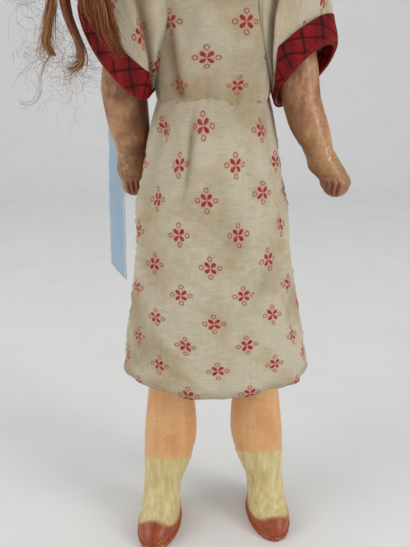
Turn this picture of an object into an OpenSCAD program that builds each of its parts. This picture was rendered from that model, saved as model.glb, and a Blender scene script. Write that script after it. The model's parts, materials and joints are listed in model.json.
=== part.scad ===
// Strung play doll with a pressed-cardboard head, composition limbs and a printed cotton dress.
// Millimetres, +Z up. The face looks along -Y and the doll's own left is +X.
// The origin lies on the floor between the soles, under the neck.

/* [Figure] */
// Height of the hip axis above the soles
leg_h = 196; // [188:1:204]
// Hip axis to shoulder axis
trunk_h = 116; // [112:1:120]
// Shoulder axis to the rim of the neck socket
neck_rise = 20; // [19:0.5:23]
// Gap left between faces that turn on each other
joint_gap = 0.3; // [0.3:0.05:0.5]

/* [Torso] */
// Half width of the block between the hip discs
crotch_half_w = 12; // [11:0.5:13]
// Radius of the flat hip discs
hip_disc_r = 19; // [17:0.5:20]
// Gap between a hip disc and the torso above it
hip_relief = 3; // [2:0.5:4]
// Height of the belly above the hip axis
belly_rise = 36; // [32:1:40]
// Half width at the belly
belly_half_w = 28; // [26:0.5:29]
// Half depth at the belly
belly_half_d = 21; // [19:0.5:22]
// Height of the waist above the hip axis
waist_rise = 58; // [55:1:61]
// Half width at the waist
waist_half_w = 25.5; // [23:0.5:27]
// Half depth at the waist
waist_half_d = 18.5; // [17:0.5:19.5]
// Height of the chest above the hip axis
chest_rise = 94; // [90:1:98]
// Half width at the chest
chest_half_w = 27; // [25:0.5:28]
// Half depth at the chest
chest_half_d = 20; // [18:0.5:21]
// Wall of the torso shell
shell_t = 3; // [2.5:0.25:3.5]
// Radius of the flat shoulder discs
arm_disc_r = 11.3; // [10.8:0.1:12]
// Radius of the neck ball
neck_ball_r = 13; // [12:0.5:14]

/* [Head] */
// Neck rim to the underside of the chin
chin_rise = 10; // [9:0.5:12]
// Chin to crown
head_h = 85; // [80:1:90]
// Half width of the head
head_half_w = 34; // [32:0.5:36]
// Face to the neck axis
face_d = 34; // [32:0.5:36]
// Back of the head to the neck axis
nape_d = 37; // [35:0.5:39]
// Wall of the cardboard head
head_t = 3; // [2.5:0.25:3.5]
// Radius of an eye
eye_r = 6.2; // [5.5:0.1:6.8]
// Half distance between the eyes
eye_half_gap = 13; // [12:0.5:14]
// Height of the eyes above the chin
eye_rise = 38; // [36:1:41]
// Thickness of the wig cap
wig_t = 5; // [4:0.25:6]

/* [Arms] */
// Thickness of an arm across its shoulder disc
arm_t = 24; // [23:0.5:26]
// Radius of the arm down to the elbow
arm_r = 11.2; // [10:0.1:11.7]
// Radius at the wrist
wrist_r = 8.3; // [7.5:0.1:9]
// Shoulder to the left hand's tip, measured down
left_arm_drop = 107; // [100:1:112]
// Shoulder to the right hand's tip, measured down
right_arm_drop = 112; // [105:1:116]
// Radius of the stringing bore
cord_bore_r = 6; // [5.5:0.25:6.5]

/* [Legs] */
// Thickness of a thigh across its hip disc
thigh_t = 23; // [21:0.5:25]
// Radius of the knee
knee_r = 12.6; // [12:0.1:14]
// Height of the knee
knee_z = 98; // [94:1:102]
// Radius of the calf
calf_r = 15.6; // [14.5:0.1:16.5]
// Height of the fullest part of the calf
calf_z = 60; // [57:1:63]
// Radius of the ankle
ankle_r = 11; // [10.3:0.1:11.6]
// Height of the ankle
ankle_z = 27; // [25:1:30]
// Length of the shoe
shoe_l = 48; // [45:1:51]
// Width of the shoe
shoe_w = 23.5; // [22:0.5:25]
// Thickness of the moulded sole
sole_t = 2.6; // [2:0.2:3.2]
// How far the ankle stands outside the hip disc's middle
leg_splay = 7.5; // [6.5:0.5:9]
// How far both feet stand to the doll's left of the hips
sway = 1.5; // [0:0.25:3]
// How far the right foot stands in front of the left
right_step = 8; // [0:0.5:10]
// Turn of the toes outwards
toe_out = 9; // [5:1:13]

/* [Dress] */
// Thickness of the dress cloth with its folds
cloth_t = 1.1; // [0.9:0.1:1.3]
// Space between the torso and the dress at the waist
waist_ease = 1.6; // [1.4:0.1:2.2]
// Space between the torso and the dress at the chest
chest_ease = 2.2; // [1.8:0.1:2.6]
// Height of the hem above the soles
hem_z = 103; // [96:1:110]
// Half width of the hem
hem_half_w = 52.5; // [50:0.5:56]
// Half depth of the hem
hem_half_d = 41; // [38:1:44]
// How far the hem hangs to the doll's left
hem_sway = 2; // [0:0.25:3]
// Space between a thigh and the skirt beside it
skirt_hip_ease = 3; // [2.5:0.5:5]
// Depth of the skirt's folds
fold_depth = 1.8; // [1.2:0.1:2.4]
// How far the top of the left cuff stands out from the shoulder disc
left_cuff_out = 34; // [32:1:36]
// How far the top of the right cuff stands out from the shoulder disc
right_cuff_out = 39; // [37:1:41]
// Shoulder axis down to the top of the left cuff's rim
left_cuff_drop = 35; // [33:1:37]
// Shoulder axis down to the top of the right cuff's rim
right_cuff_drop = 14; // [12:1:16]
// Shoulder axis down to the bottom of the left cuff
left_cuff_low = 58; // [56:1:60]
// Shoulder axis down to the bottom of the right cuff
right_cuff_low = 53; // [51:1:55]
// How much higher the left cuff's front is than its middle
left_cuff_tip = 11; // [9:0.5:13]
// How much lower the right cuff's front is than its middle
right_cuff_tip = 12; // [10:0.5:13]
// Half depth of a sleeve opening
cuff_half_d = 18; // [17:0.5:19]
// Width of the turned cuff
cuff_w = 13; // [11:1:15]
// Radius of a back button
button_r = 2.6; // [2:0.1:3]

/* [Hair ribbon] */
// Width of the ribbon
ribbon_w = 15; // [12:0.5:16]
// Height of the side tail's end above the soles
ribbon_end_z = 146; // [138:1:156]
// Height of the back tail's end above the soles
back_tail_end_z = 160; // [150:1:170]
// Length of the knot's loops
bow_loop_l = 20; // [16:1:24]

/* [Hidden] */
$fn = 48;

left = 1;
right = -1;

cardboard_colour = "#c9a27e";
flesh_colour = "#b98155";
leg_colour = "#c07a45";
hair_colour = "#8c4a22";
cotton_colour = "#cdb695";
tartan_colour = "#8f2f2b";
ribbon_colour = "#93abbd";
wire_colour = "#8d8f91";
elastic_colour = "#d8d2c4";
wood_colour = "#b58a58";
eye_colour = "#e8e6df";
button_colour = "#e5dcc4";

// Heights up the figure
hip_z = leg_h;
waist_z = hip_z + waist_rise;
shoulder_z = hip_z + trunk_h;
neck_z = shoulder_z + neck_rise;
chin_z = neck_z + chin_rise;
crown_z = chin_z + head_h;
trunk_base_z = hip_z + hip_disc_r + hip_relief;

// Planes on which the limbs turn
shoulder_x = max(chest_half_w, waist_half_w);
arm_face_x = shoulder_x + joint_gap;
arm_mid_x = arm_face_x + arm_t / 2;
thigh_face_x = crotch_half_w + joint_gap;
thigh_mid_x = thigh_face_x + thigh_t / 2;

// Wire and elastic
wire_r = 0.9;
eye_ring_r = 3;
elastic_r = 1.5;
elastic_ring_r = 3.4;
ring_lap = 3.6;
neck_ring_r = 3.2;
knob_r = 3.2;
knob_h = 1.8;

// Smooth step from 0 to 1
function ease(t) = let (c = min(1, max(0, t))) c * c * (3 - 2 * c);
// Bell of height 1 at 0
function bell(d, spread) = exp(-d * d / (2 * spread * spread));
function mix(a, b, t) = a + (b - a) * t;

// Smooth curve through stations whose first entry is the place along the curve
function seg(s, z, i = 0) = (i >= len(s) - 2 || z <= s[i + 1][0]) ? i : seg(s, z, i + 1);
function slope(s, i) =
    let (a = max(0, i - 1), b = min(len(s) - 1, i + 1))
    (s[b] - s[a]) / (s[b][0] - s[a][0]);
function along(s, z) =
    let (i = seg(s, z), h = s[i + 1][0] - s[i][0], t = (z - s[i][0]) / h)
    s[i] * (2 * t ^ 3 - 3 * t ^ 2 + 1) + slope(s, i) * h * (t ^ 3 - 2 * t ^ 2 + t)
    + s[i + 1] * (3 * t ^ 2 - 2 * t ^ 3) + slope(s, i + 1) * h * (t ^ 3 - t ^ 2);

// One level ring of an oval about [cx, cy]
function oval(cx, cy, z, w, d, sides) =
    [for (i = [0 : sides - 1]) let (a = 360 * i / sides) [cx + w * cos(a), cy + d * sin(a), z]];

// Triangles between rings of equal length, from the lowest ring up
function wall_faces(rings, sides, closed) =
    [for (i = [0 : rings - (closed ? 1 : 2)]) for (j = [0 : sides - 1])
        let (k = (i + 1) % rings, n = (j + 1) % sides)
        each [[i * sides + j, k * sides + j, k * sides + n], [i * sides + j, k * sides + n, i * sides + n]]];
function cap_faces(first, sides, up) =
    [for (j = [1 : sides - 2]) up ? [first, first + j + 1, first + j] : [first, first + j, first + j + 1]];

// Solid through a stack of rings
module loft(rings) {
    sides = len(rings[0]);
    count = len(rings);
    polyhedron([for (r = rings) each r], concat(wall_faces(count, sides, false),
        cap_faces(0, sides, false), cap_faces((count - 1) * sides, sides, true)));
}

// Wall between outer rings and inner rings, open at both ends
module shell(outer, inner) {
    count = len(inner);
    rings = concat(outer, [for (i = [count - 1 : -1 : 0]) inner[i]]);
    polyhedron([for (r = rings) each r], wall_faces(len(rings), len(outer[0]), true));
}

// Dome between inner and outer rings, each listed from the rim to the top
module dome(outer, inner) {
    count = len(inner);
    loft(concat([for (i = [count - 1 : -1 : 0]) inner[i]], outer));
}

// Strip of triangles that closes the end of a slab
function strip_faces(first, columns, up) =
    let (last = first + 2 * columns - 1)
    [for (j = [0 : columns - 2])
        let (a = first + j, b = first + j + 1, c = last - j - 1, d = last - j)
        each up ? [[a, c, b], [a, d, c]] : [[a, b, c], [a, c, d]]];

// Slab between two grids of rows, listed from the lowest row up, each row counterclockwise from above
module slab(front, back) {
    columns = len(front[0]);
    count = len(front);
    rings = [for (i = [0 : count - 1])
        concat(front[i], [for (j = [columns - 1 : -1 : 0]) back[i][j]])];
    polyhedron([for (r = rings) each r], concat(wall_faces(count, 2 * columns, false),
        strip_faces(0, columns, false), strip_faces((count - 1) * 2 * columns, columns, true)));
}

// Everything below stands on one side of the doll
module on_side(side) {
    scale_x = side < 0 ? [1, 0, 0] : [0, 0, 0];
    mirror(scale_x) children();
}

// Torso

torso_sides = 28;
torso_levels = 11;
shoulder_slope = 9;
collar_z = shoulder_z + shoulder_slope;
collar_w = neck_ball_r + shell_t;
cup_floor_z = neck_z - neck_ball_r - shell_t;
torso_stations = [
    [trunk_base_z, belly_half_w - 1.5, belly_half_d - 1.5],
    [hip_z + belly_rise, belly_half_w, belly_half_d],
    [waist_z, waist_half_w, waist_half_d],
    [hip_z + chest_rise, chest_half_w, chest_half_d],
    [shoulder_z, shoulder_x + 2, chest_half_d - 3],
    [collar_z, collar_w + 4, collar_w - 1.5]];

// Half ring of the torso wall, from the doll's right round to its left, flat beside the arms
function torso_arc(z, inset, front) =
    let (s = along(torso_stations, z), half = torso_sides / 2, side = shoulder_x - inset)
    [for (i = [0 : half]) let (a = (front ? 180 : 0) + 180 * i / half)
        [max(-side, min(side, (s[1] - inset) * cos(a))), (s[2] - inset) * sin(a), z]];

module torso_wall(front) {
    levels = [for (i = [0 : torso_levels]) mix(trunk_base_z, collar_z, i / torso_levels)];
    slab([for (z = levels) torso_arc(z, 0, front)], [for (z = levels) torso_arc(z, shell_t, front)]);
}

// Floor of the belly, let into the wall
module torso_floor() {
    s = along(torso_stations, trunk_base_z + shell_t);
    inset = shell_t * 0.5;
    translate([0, 0, trunk_base_z + 0.4]) linear_extrude(height = shell_t)
        polygon([for (i = [0 : torso_sides - 1]) let (a = 360 * i / torso_sides)
            [(s[1] - inset) * cos(a), (s[2] - inset) * sin(a)]]);
}

// Hollow drum between the legs, on a short column under the belly
module hip_drum() {
    w = crotch_half_w;
    hollow_r = hip_disc_r - shell_t;
    column_d = hip_disc_r * 0.6;
    column_w = w - 1.5;
    translate([0, 0, hip_z]) rotate([0, 90, 0]) rotate_extrude()
        polygon([[cord_bore_r, -w], [hip_disc_r, -w], [hip_disc_r, w], [cord_bore_r, w],
            [cord_bore_r, w - shell_t], [hollow_r, w - shell_t], [hollow_r, shell_t - w],
            [cord_bore_r, shell_t - w]]);
    translate([-column_w, -column_d, hip_z + hip_disc_r * 0.85])
        cube([2 * column_w, 2 * column_d, hip_disc_r * 0.15 + hip_relief + shell_t * 0.6]);
}

// Cup in which the neck ball turns
module neck_cup() {
    difference() {
        translate([0, 0, cup_floor_z]) cylinder(h = neck_z - cup_floor_z, r = collar_w);
        translate([0, 0, neck_z + 1]) sphere(r = neck_ball_r + joint_gap);
        translate([0, 0, cup_floor_z - 1]) cylinder(h = neck_z, r = cord_bore_r);
    }
}

// Half space in front of or behind the glued seam
seam_gap = 0.02;
module half_space(front) {
    reach = 2 * crown_z;
    translate([-reach / 2, front ? -reach - seam_gap : seam_gap, -reach / 2]) cube(reach);
}

module torso_half(front) {
    color(cardboard_colour) union() {
        difference() {
            torso_wall(front);
            translate([-2 * shoulder_x, 0, shoulder_z]) rotate([0, 90, 0])
                cylinder(h = 4 * shoulder_x, r = cord_bore_r);
        }
        intersection() {
            union() {
                torso_floor();
                hip_drum();
                neck_cup();
            }
            half_space(front);
        }
    }
}

module torso_front() {
    torso_half(true);
}

module torso_back() {
    torso_half(false);
}

// Stringing

// Elastic along the x axis with a ring at each end
module elastic(z, reach) {
    ring_x = reach - ring_lap - elastic_ring_r + eye_ring_r;
    color(elastic_colour) {
        translate([-(ring_x - elastic_ring_r), 0, z]) rotate([0, 90, 0])
            cylinder(h = 2 * (ring_x - elastic_ring_r), r = elastic_r);
        for (s = [left, right]) translate([s * ring_x, 0, z])
            rotate_extrude() translate([elastic_ring_r, 0]) circle(r = elastic_r * 0.7);
    }
}

// Wire eye on a shank that is set into the bottom of the bore
module limb_hook(side, z, reach, anchor_l) {
    color(wire_colour) on_side(side) {
        translate([reach, 0, z]) rotate([90, 0, 0])
            rotate_extrude() translate([eye_ring_r, 0]) circle(r = wire_r);
        translate([reach + eye_ring_r, 0, z]) rotate([0, 90, 0]) cylinder(h = anchor_l, r = wire_r);
    }
}

// Depth at which the bore of a limb ends, and where its wire eye sits
hook_shank = 4;
hook_set = 3;
arm_bore_l = arm_t * 0.55;
thigh_bore_l = thigh_t * 0.6;
arm_eye_x = arm_face_x + arm_bore_l - hook_shank - eye_ring_r;
thigh_eye_x = thigh_face_x + thigh_bore_l - hook_shank - eye_ring_r;

module arm_elastic() {
    elastic(shoulder_z, arm_eye_x);
}

module leg_elastic() {
    elastic(hip_z, thigh_eye_x);
}

module left_arm_hook() {
    limb_hook(left, shoulder_z, arm_eye_x, hook_shank + hook_set);
}

module right_arm_hook() {
    limb_hook(right, shoulder_z, arm_eye_x, hook_shank + hook_set);
}

module left_leg_hook() {
    limb_hook(left, hip_z, thigh_eye_x, hook_shank + hook_set);
}

module right_leg_hook() {
    limb_hook(right, hip_z, thigh_eye_x, hook_shank + hook_set);
}

// Bore for the elastic and a seat for the hook's shank
module string_bore(z, face_x, bore_l) {
    translate([face_x - 1, 0, z]) rotate([0, 90, 0]) {
        cylinder(h = bore_l + 1, r = cord_bore_r);
        cylinder(h = bore_l + 1 + hook_set, r = wire_r);
    }
}

// Round-edged disc that turns on the x axis, flat on its inner side
module joint_disc(z, face_x, r, t) {
    steps = 8;
    flat = t * 0.45;
    translate([face_x, 0, z]) rotate([0, 90, 0]) rotate_extrude()
        polygon(concat([[0, 0], [r - 0.6, 0], [r, 0.6]],
            [for (i = [0 : steps]) [r * cos(90 * i / steps), flat + (t - flat) * sin(90 * i / steps)]]));
}

// Arms

// Places down an arm, as shares of its drop: outwards, forwards negative, and the radius across and deep
arm_sides = 24;
palm_r = wrist_r * 0.98;
function arm_stations(drop, out, back) = [
    [shoulder_z - drop, arm_mid_x + out[3], back[3], palm_r * 0.5, palm_r * 0.45],
    [shoulder_z - drop * 0.96, arm_mid_x + out[3], back[3], palm_r * 0.74, palm_r * 0.76],
    [shoulder_z - drop * 0.88, arm_mid_x + mix(out[2], out[3], 0.6), mix(back[2], back[3], 0.6),
        palm_r * 0.95, palm_r],
    [shoulder_z - drop * 0.78, arm_mid_x + out[2], back[2], wrist_r, wrist_r],
    [shoulder_z - drop * 0.5, arm_mid_x + out[1], back[1], arm_r, arm_r],
    [shoulder_z - drop * 0.2, arm_mid_x + out[1] * 0.3, back[1] * 0.3, arm_r, arm_r],
    [shoulder_z, arm_mid_x + out[0], back[0], arm_r - 0.3, arm_r - 0.3]];
left_out = [0, 5.8, 16.2, 25];
left_back = [0, -3, -8, -11];
right_out = [0, 7, 5, 4.8];
right_back = [0, 4, 12, 16];

module arm(side, stations) {
    levels = 14;
    low = stations[0][0];
    color(flesh_colour) on_side(side) difference() {
        union() {
            joint_disc(shoulder_z, arm_face_x, arm_disc_r, arm_t);
            loft([for (i = [0 : levels])
                let (z = mix(low, shoulder_z, 1 - cos(90 * i / levels)), s = along(stations, z))
                oval(s[1], s[2], z, s[3], s[4], arm_sides)]);
        }
        string_bore(shoulder_z, arm_face_x, arm_bore_l);
    }
}

module left_arm() {
    arm(left, arm_stations(left_arm_drop, left_out, left_back));
}

module right_arm() {
    arm(right, arm_stations(right_arm_drop, right_out, right_back));
}

// Legs

leg_sides = 28;
ankle_x = thigh_mid_x + leg_splay;
heel_y = 0.36 * shoe_l;
// Height, centre x, centre forwards along the foot, half width, half depth
leg_stations = [
    [sole_t * 0.5, ankle_x + 1, -(shoe_l / 2 - heel_y), shoe_w / 2 - 0.8, shoe_l / 2 - 0.8],
    [9, ankle_x + 1, -(shoe_l / 2 - heel_y), shoe_w / 2 - 0.9, shoe_l / 2 - 2],
    [ankle_z * 0.68, ankle_x + 0.3, -3.5, ankle_r, ankle_r + 4],
    [ankle_z, ankle_x, -0.5, ankle_r, ankle_r + 0.8],
    [mix(ankle_z, calf_z, 0.5), mix(ankle_x, thigh_mid_x, 0.42), 1, mix(ankle_r, calf_r, 0.66),
        mix(ankle_r, calf_r, 0.66) + 0.2],
    [calf_z, mix(ankle_x, thigh_mid_x, 0.7), 1.6, calf_r, calf_r + 0.4],
    [knee_z, mix(ankle_x, thigh_mid_x, 0.86), 0, knee_r, knee_r + 0.4],
    [mix(knee_z, hip_z, 0.5), thigh_mid_x + 0.4, 0, thigh_t / 2 + 0.2, hip_disc_r * 0.88],
    [hip_z, thigh_mid_x, 0, thigh_t / 2 - 0.2, hip_disc_r - 0.3]];

// Level ring of a leg, turned with the toes near the floor, and set aside and forwards more the lower it is
function leg_ring(z, aside, step) =
    let (s = along(leg_stations, z), turn = toe_out * (1 - ease((z - ankle_z) / (knee_z - ankle_z))),
        low = 1 - z / hip_z)
    [for (i = [0 : leg_sides - 1])
        let (a = 360 * i / leg_sides, x = s[3] * cos(a), y = s[2] + s[4] * sin(a))
        [s[1] + aside * low + x * cos(turn) - y * sin(turn),
            x * sin(turn) + y * cos(turn) - step * low, z]];

module leg(side, step) {
    foot_levels = [sole_t * 0.5, 5, 9, 13, ankle_z * 0.68, ankle_z];
    shaft_levels = 10;
    aside = side * sway;
    outline = leg_ring(sole_t * 0.5, aside, step);
    middle = [ankle_x + aside, -step, 0];
    welt = 1.05;
    color(leg_colour) on_side(side) difference() {
        union() {
            loft([for (z = concat(foot_levels, [for (i = [1 : shaft_levels])
                mix(ankle_z, hip_z, i / shaft_levels)])) leg_ring(z, aside, step)]);
            linear_extrude(height = sole_t)
                polygon([for (p = outline) let (q = middle + (p - middle) * welt) [q[0], q[1]]]);
            joint_disc(hip_z, thigh_face_x, hip_disc_r, thigh_t);
        }
        string_bore(hip_z, thigh_face_x, thigh_bore_l);
    }
}

module left_leg() {
    leg(left, 0);
}

module right_leg() {
    leg(right, right_step);
}

// Head

head_sides = 40;
crown_cut_z = chin_z + head_h * 0.76;
neck_r = neck_ball_r - 1.5;
neck_ball_z = neck_z + 1;
// Height above the chin as a share, half width, front depth and back depth as shares
face_stations = [
    [0, 0.42, 0.52, 0.3],
    [0.07, 0.62, 0.8, 0.46],
    [0.16, 0.83, 0.92, 0.68],
    [0.28, 0.95, 0.98, 0.86],
    [0.42, 1, 1, 0.97],
    [0.58, 1, 1, 1],
    [0.72, 0.94, 0.93, 0.96],
    [0.84, 0.79, 0.77, 0.82],
    [0.93, 0.55, 0.54, 0.58],
    [0.985, 0.26, 0.26, 0.27],
    [1, 0.05, 0.05, 0.05]];

// How far the face stands out in front of the plain oval, x from the middle, h above the chin
nose_rise = 21.5;
mouth_rise = 11.5;
function features(x, h) =
    let (ax = abs(x))
    6.2 * bell(x, 3.2) * bell(h - nose_rise, 3.6)
    + 2.6 * bell(x, 3) * bell(h - nose_rise - 8, 6)
    + 2.2 * bell(ax - 17, 8) * bell(h - nose_rise + 3, 8)
    + 1.7 * bell(x, 6.5) * bell(h - mouth_rise, 3)
    + 2.4 * bell(x, 8) * bell(h - 3, 4)
    - 3.2 * bell(ax - eye_half_gap, 6) * bell(h - eye_rise, 4.5);

function head_size(h) =
    let (s = along(face_stations, h / head_h))
    [head_half_w * s[1], face_d * s[2], nape_d * s[3]];

// Level ring of the head grown by a margin, with the face's features where wanted
function head_ring(z, grow, faced) =
    let (h = z - chin_z, s = head_size(h))
    [for (i = [0 : head_sides - 1])
        let (a = 360 * i / head_sides, x = (s[0] + grow) * cos(a),
            front = sin(a) < 0, y = (front ? s[1] : s[2]) * sin(a) + grow * sin(a),
            out = (front && faced) ? features(x, h) * ease(-sin(a) * 1.6) : 0)
        [x, y - out, z]];

// The neck's rings, from the ball up to the jaw
neck_floor = 5;
neck_hole_r = cord_bore_r - 2;
neck_bore_r = neck_r - head_t;
ball_low = -0.88;
neck_floor_z = neck_ball_z + neck_ball_r * ball_low;
plug_z = neck_floor_z + neck_floor;
plug_h = 5;
plug_taper = 1.5;
neck_rings = concat(
    [for (s = [ball_low, -0.6, -0.2, 0.25])
        oval(0, 0, neck_ball_z + neck_ball_r * s, neck_ball_r * sqrt(1 - s * s),
            neck_ball_r * sqrt(1 - s * s), head_sides)],
    [oval(0, 0, chin_z - 3.5, neck_r, neck_r, head_sides)]);

module head_shell() {
    outer_steps = 19;
    inner_steps = 9;
    outer = concat(neck_rings,
        [for (i = [0 : outer_steps]) head_ring(mix(chin_z, crown_cut_z, i / outer_steps), 0, true)]);
    inner = concat([for (p = [[neck_floor_z, neck_hole_r], [plug_z, neck_hole_r], [plug_z, neck_bore_r],
            [chin_z + 3, neck_bore_r]]) oval(0, 0, p[0], p[1], p[1], head_sides)],
        [for (i = [0 : inner_steps])
            head_ring(mix(chin_z + 8, crown_cut_z, i / inner_steps), -head_t - 1.5 * (1 - i / inner_steps),
                false)]);
    color(cardboard_colour) difference() {
        shell(outer, inner);
        for (s = [left, right]) eye_ball(s, eye_r + joint_gap);
    }
}

// Middle of an eye, set behind the face
eye_y = -(face_d - 3.2 - eye_r * 0.62) * sqrt(1 - pow(eye_half_gap / head_half_w, 2));
module eye_ball(side, r) {
    translate([side * eye_half_gap, eye_y, chin_z + eye_rise]) sphere(r = r);
}

module left_eye() {
    color(eye_colour) eye_ball(left, eye_r);
}

module right_eye() {
    color(eye_colour) eye_ball(right, eye_r);
}

module crown_pate() {
    steps = 4;
    function heights(top) = [for (i = [0 : steps]) mix(crown_cut_z + 0.05, top, sin(90 * i / steps))];
    color(cardboard_colour) dome([for (z = heights(crown_z - 0.2)) head_ring(z, 0, false)],
        [for (z = heights(crown_z - head_t)) head_ring(z, -head_t * 0.9, false)]);
}

module neck_button() {
    plug_r = neck_bore_r - joint_gap;
    color(wood_colour) translate([0, 0, plug_z]) difference() {
        cylinder(h = plug_h, r1 = plug_r, r2 = plug_r - plug_taper);
        translate([0, 0, -plug_h]) cylinder(h = 3 * plug_h, r = wire_r + joint_gap);
    }
}

module neck_hook() {
    knob_z = plug_z + plug_h + joint_gap;
    ring_top = shoulder_z + neck_ring_r;
    color(wire_colour) union() {
        translate([0, 0, shoulder_z]) rotate([0, 90, 0])
            rotate_extrude() translate([neck_ring_r, 0]) circle(r = wire_r);
        translate([0, 0, ring_top]) cylinder(h = knob_z - ring_top + knob_h / 2, r = wire_r);
        translate([0, 0, knob_z]) cylinder(h = knob_h, r = knob_r);
    }
}

// Wig

wig_clear = 1.6;
// Height of the hairline above the chin round the head, front at 270 degrees
function hairline(a) =
    let (front = ease((-sin(a) - 0.25) / 0.5), back = ease((sin(a) + 0.1) / 0.6))
    mix(mix(24, 8, back), 0.8 * head_h, front);

module wig_cap() {
    steps = 9;
    top = 0.995 * head_h;
    function layer(t, grow, swell) =
        [for (i = [0 : head_sides - 1])
            let (a = 360 * i / head_sides, h = mix(hairline(a), top, sin(90 * t)),
                s = head_size(h), g = grow + swell * sin(180 * (0.15 + 0.7 * t)),
                lift = grow * ease((h / head_h - 0.5) / 0.5))
            [(s[0] + g) * cos(a), ((sin(a) < 0 ? s[1] : s[2]) + g) * sin(a), chin_z + h + lift]];
    rows = [for (i = [0 : steps]) i / steps];
    color(hair_colour) dome([for (t = rows) layer(t, wig_clear + wig_t, 1.5)],
        [for (t = rows) layer(t, wig_clear, 0.6)]);
}

// Hair that hangs behind the shoulders: height, middle y, drop at the sides, half width, thickness
back_hair_stations = [
    [shoulder_z - 30, 30, 7, 30, 2.5],
    [shoulder_z, 30.5, 7, 33, 5],
    [shoulder_z + 25, 35, 9, 35, 6],
    [shoulder_z + 52, nape_d + wig_t + 4, 16, 32, 6],
    [shoulder_z + 74, nape_d + wig_t + 3.5, 15, 26, 3]];

module back_hair() {
    rows = 9;
    columns = 14;
    low = back_hair_stations[0][0];
    high = back_hair_stations[4][0];
    function row(z, outer) =
        let (s = along(back_hair_stations, z))
        [for (i = [0 : columns]) let (u = 2 * i / columns - 1)
            [s[3] * u, s[1] - s[2] * u * u + (outer ? s[4] : 0), z]];
    heights = [for (i = [0 : rows]) mix(low, high, i / rows)];
    color(hair_colour) slab([for (z = heights) row(z, false)], [for (z = heights) row(z, true)]);
}

// A lock of hair through level rings: height, x, y, half width, half depth
module lock(stations, side) {
    rows = 9;
    sides = 10;
    low = stations[0][0];
    high = stations[len(stations) - 1][0];
    on_side(side) loft([for (i = [0 : rows])
        let (z = mix(low, high, i / rows), s = along(stations, z)) oval(s[1], s[2], z, s[3], s[4], sides)]);
}

// Locks over and outside the right sleeve, and one behind the left shoulder, all up from their tips
temple_x = head_half_w + wig_t + wig_clear;
right_locks = [
    [[shoulder_z - 44, 45, -27, 2, 1.8], [shoulder_z - 22, 57, -27, 6.5, 4.2],
        [shoulder_z, 64, -22, 8.5, 6], [shoulder_z + 24, 56, -17, 9, 8],
        [shoulder_z + 50, temple_x + 3, -9, 7, 9], [shoulder_z + 72, temple_x - 2, -3, 4, 9]],
    [[shoulder_z - 36, 70, -18, 1.2, 1.2], [shoulder_z - 14, 73, -16, 4, 4],
        [shoulder_z + 10, 73, -12, 6, 6], [shoulder_z + 40, temple_x + 14, -4, 7, 8],
        [shoulder_z + 68, temple_x, 2, 4, 9]],
    [[shoulder_z - 35, 80, -10, 1, 1], [shoulder_z - 12, 82, -8, 3.5, 3.5],
        [shoulder_z + 12, 80, -4, 5.5, 5.5], [shoulder_z + 42, temple_x + 18, 3, 6.5, 7],
        [shoulder_z + 70, temple_x, 9, 4, 8]]];
left_locks = [
    [[shoulder_z - 26, 40, 28, 2, 2], [shoulder_z, 43, 28, 6, 5], [shoulder_z + 24, 46, 22, 8.5, 8],
        [shoulder_z + 46, temple_x + 5, 8, 8, 10], [shoulder_z + 70, temple_x - 1, 0, 4, 10]]];

module right_hair() {
    color(hair_colour) for (s = right_locks) lock(s, right);
}

module left_hair() {
    color(hair_colour) for (s = left_locks) lock(s, left);
}

// Bow on the doll's right, behind the temple
bow_out = 6.5;
bow_back = 20;
bow_rise = 72;
bow_at = [-(temple_x + bow_out), bow_back, shoulder_z + bow_rise];
knot_r = 4;
loop_fat = 3.2;
loop_half_h = 6.5;
module hair_bow() {
    color(ribbon_colour) translate(bow_at) {
        sphere(r = knot_r);
        for (lean = [55, 125]) rotate([0, 0, lean]) hull() {
            $fn = 14;
            translate([knot_r, 0, 0]) sphere(r = knot_r * 0.55);
            for (end = [-1, 1]) translate([bow_loop_l, 0, end * loop_half_h]) sphere(r = loop_fat);
        }
    }
}

// Ribbon laid flat through stations: place in the list, x, y, z, then tilt and turn of its width
ribbon_t = 0.6;
module ribbon(stations, rows, end_slant) {
    last = len(stations) - 1;
    function spot(k, side, back) =
        let (s = along(stations, k), step = 0.01,
            d = along(stations, min(last, k + step)) - along(stations, max(0, k - step)),
            across = [cos(s[4]) * cos(s[5]), cos(s[4]) * sin(s[5]), sin(s[4])],
            out = cross([d[1], d[2], d[3]], across), thick = out / norm(out) * (back ? ribbon_t : 0))
        [s[1], s[2], s[3] - (k == 0 ? side * end_slant / 2 : 0)] + across * side * ribbon_w / 2 + thick;
    places = [for (i = [0 : rows]) last * i / rows];
    color(ribbon_colour) slab([for (k = places) [spot(k, -1, false), spot(k, 1, false)]],
        [for (k = places) [spot(k, -1, true), spot(k, 1, true)]]);
}

// Side tail, beside and behind the right arm
side_tail_y = 40;
side_tail = [
    [0, -56.8, side_tail_y, ribbon_end_z, 0, -45],
    [1, -55.8, side_tail_y, mix(ribbon_end_z, shoulder_z, 0.3), 0, -45],
    [2, -53.9, side_tail_y, mix(ribbon_end_z, shoulder_z, 0.65), 0, -45],
    [3, -52.5, side_tail_y - 2, shoulder_z + 10, 0, -45],
    [4, -51, side_tail_y - 8, shoulder_z + 46, 0, -42],
    [5, bow_at[0] - 2, bow_at[1] + 3, bow_at[2] - 5, 0, -38]];
module ribbon_tail() {
    ribbon(side_tail, 22, ribbon_w * 0.9);
}

// Second tail, over the back of the hair and down behind the skirt
back_tail = [
    [0, 8, 49.3, back_tail_end_z, 0, 0],
    [1, 7, 49.5, mix(back_tail_end_z, shoulder_z, 0.45), 0, 0],
    [2, 4, 49.8, shoulder_z - 32, 2, 0],
    [3, -3, 50, shoulder_z + 10, 10, 4],
    [4, -16, 48.5, shoulder_z + 36, 30, 18],
    [5, -31, 39, shoulder_z + 54, 35, 40],
    [6, bow_at[0] + 6, bow_at[1] + 8, bow_at[2] - 5, 35, 55]];
module back_ribbon_tail() {
    ribbon(back_tail, 24, ribbon_w * 0.9);
}

// Dress

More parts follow.
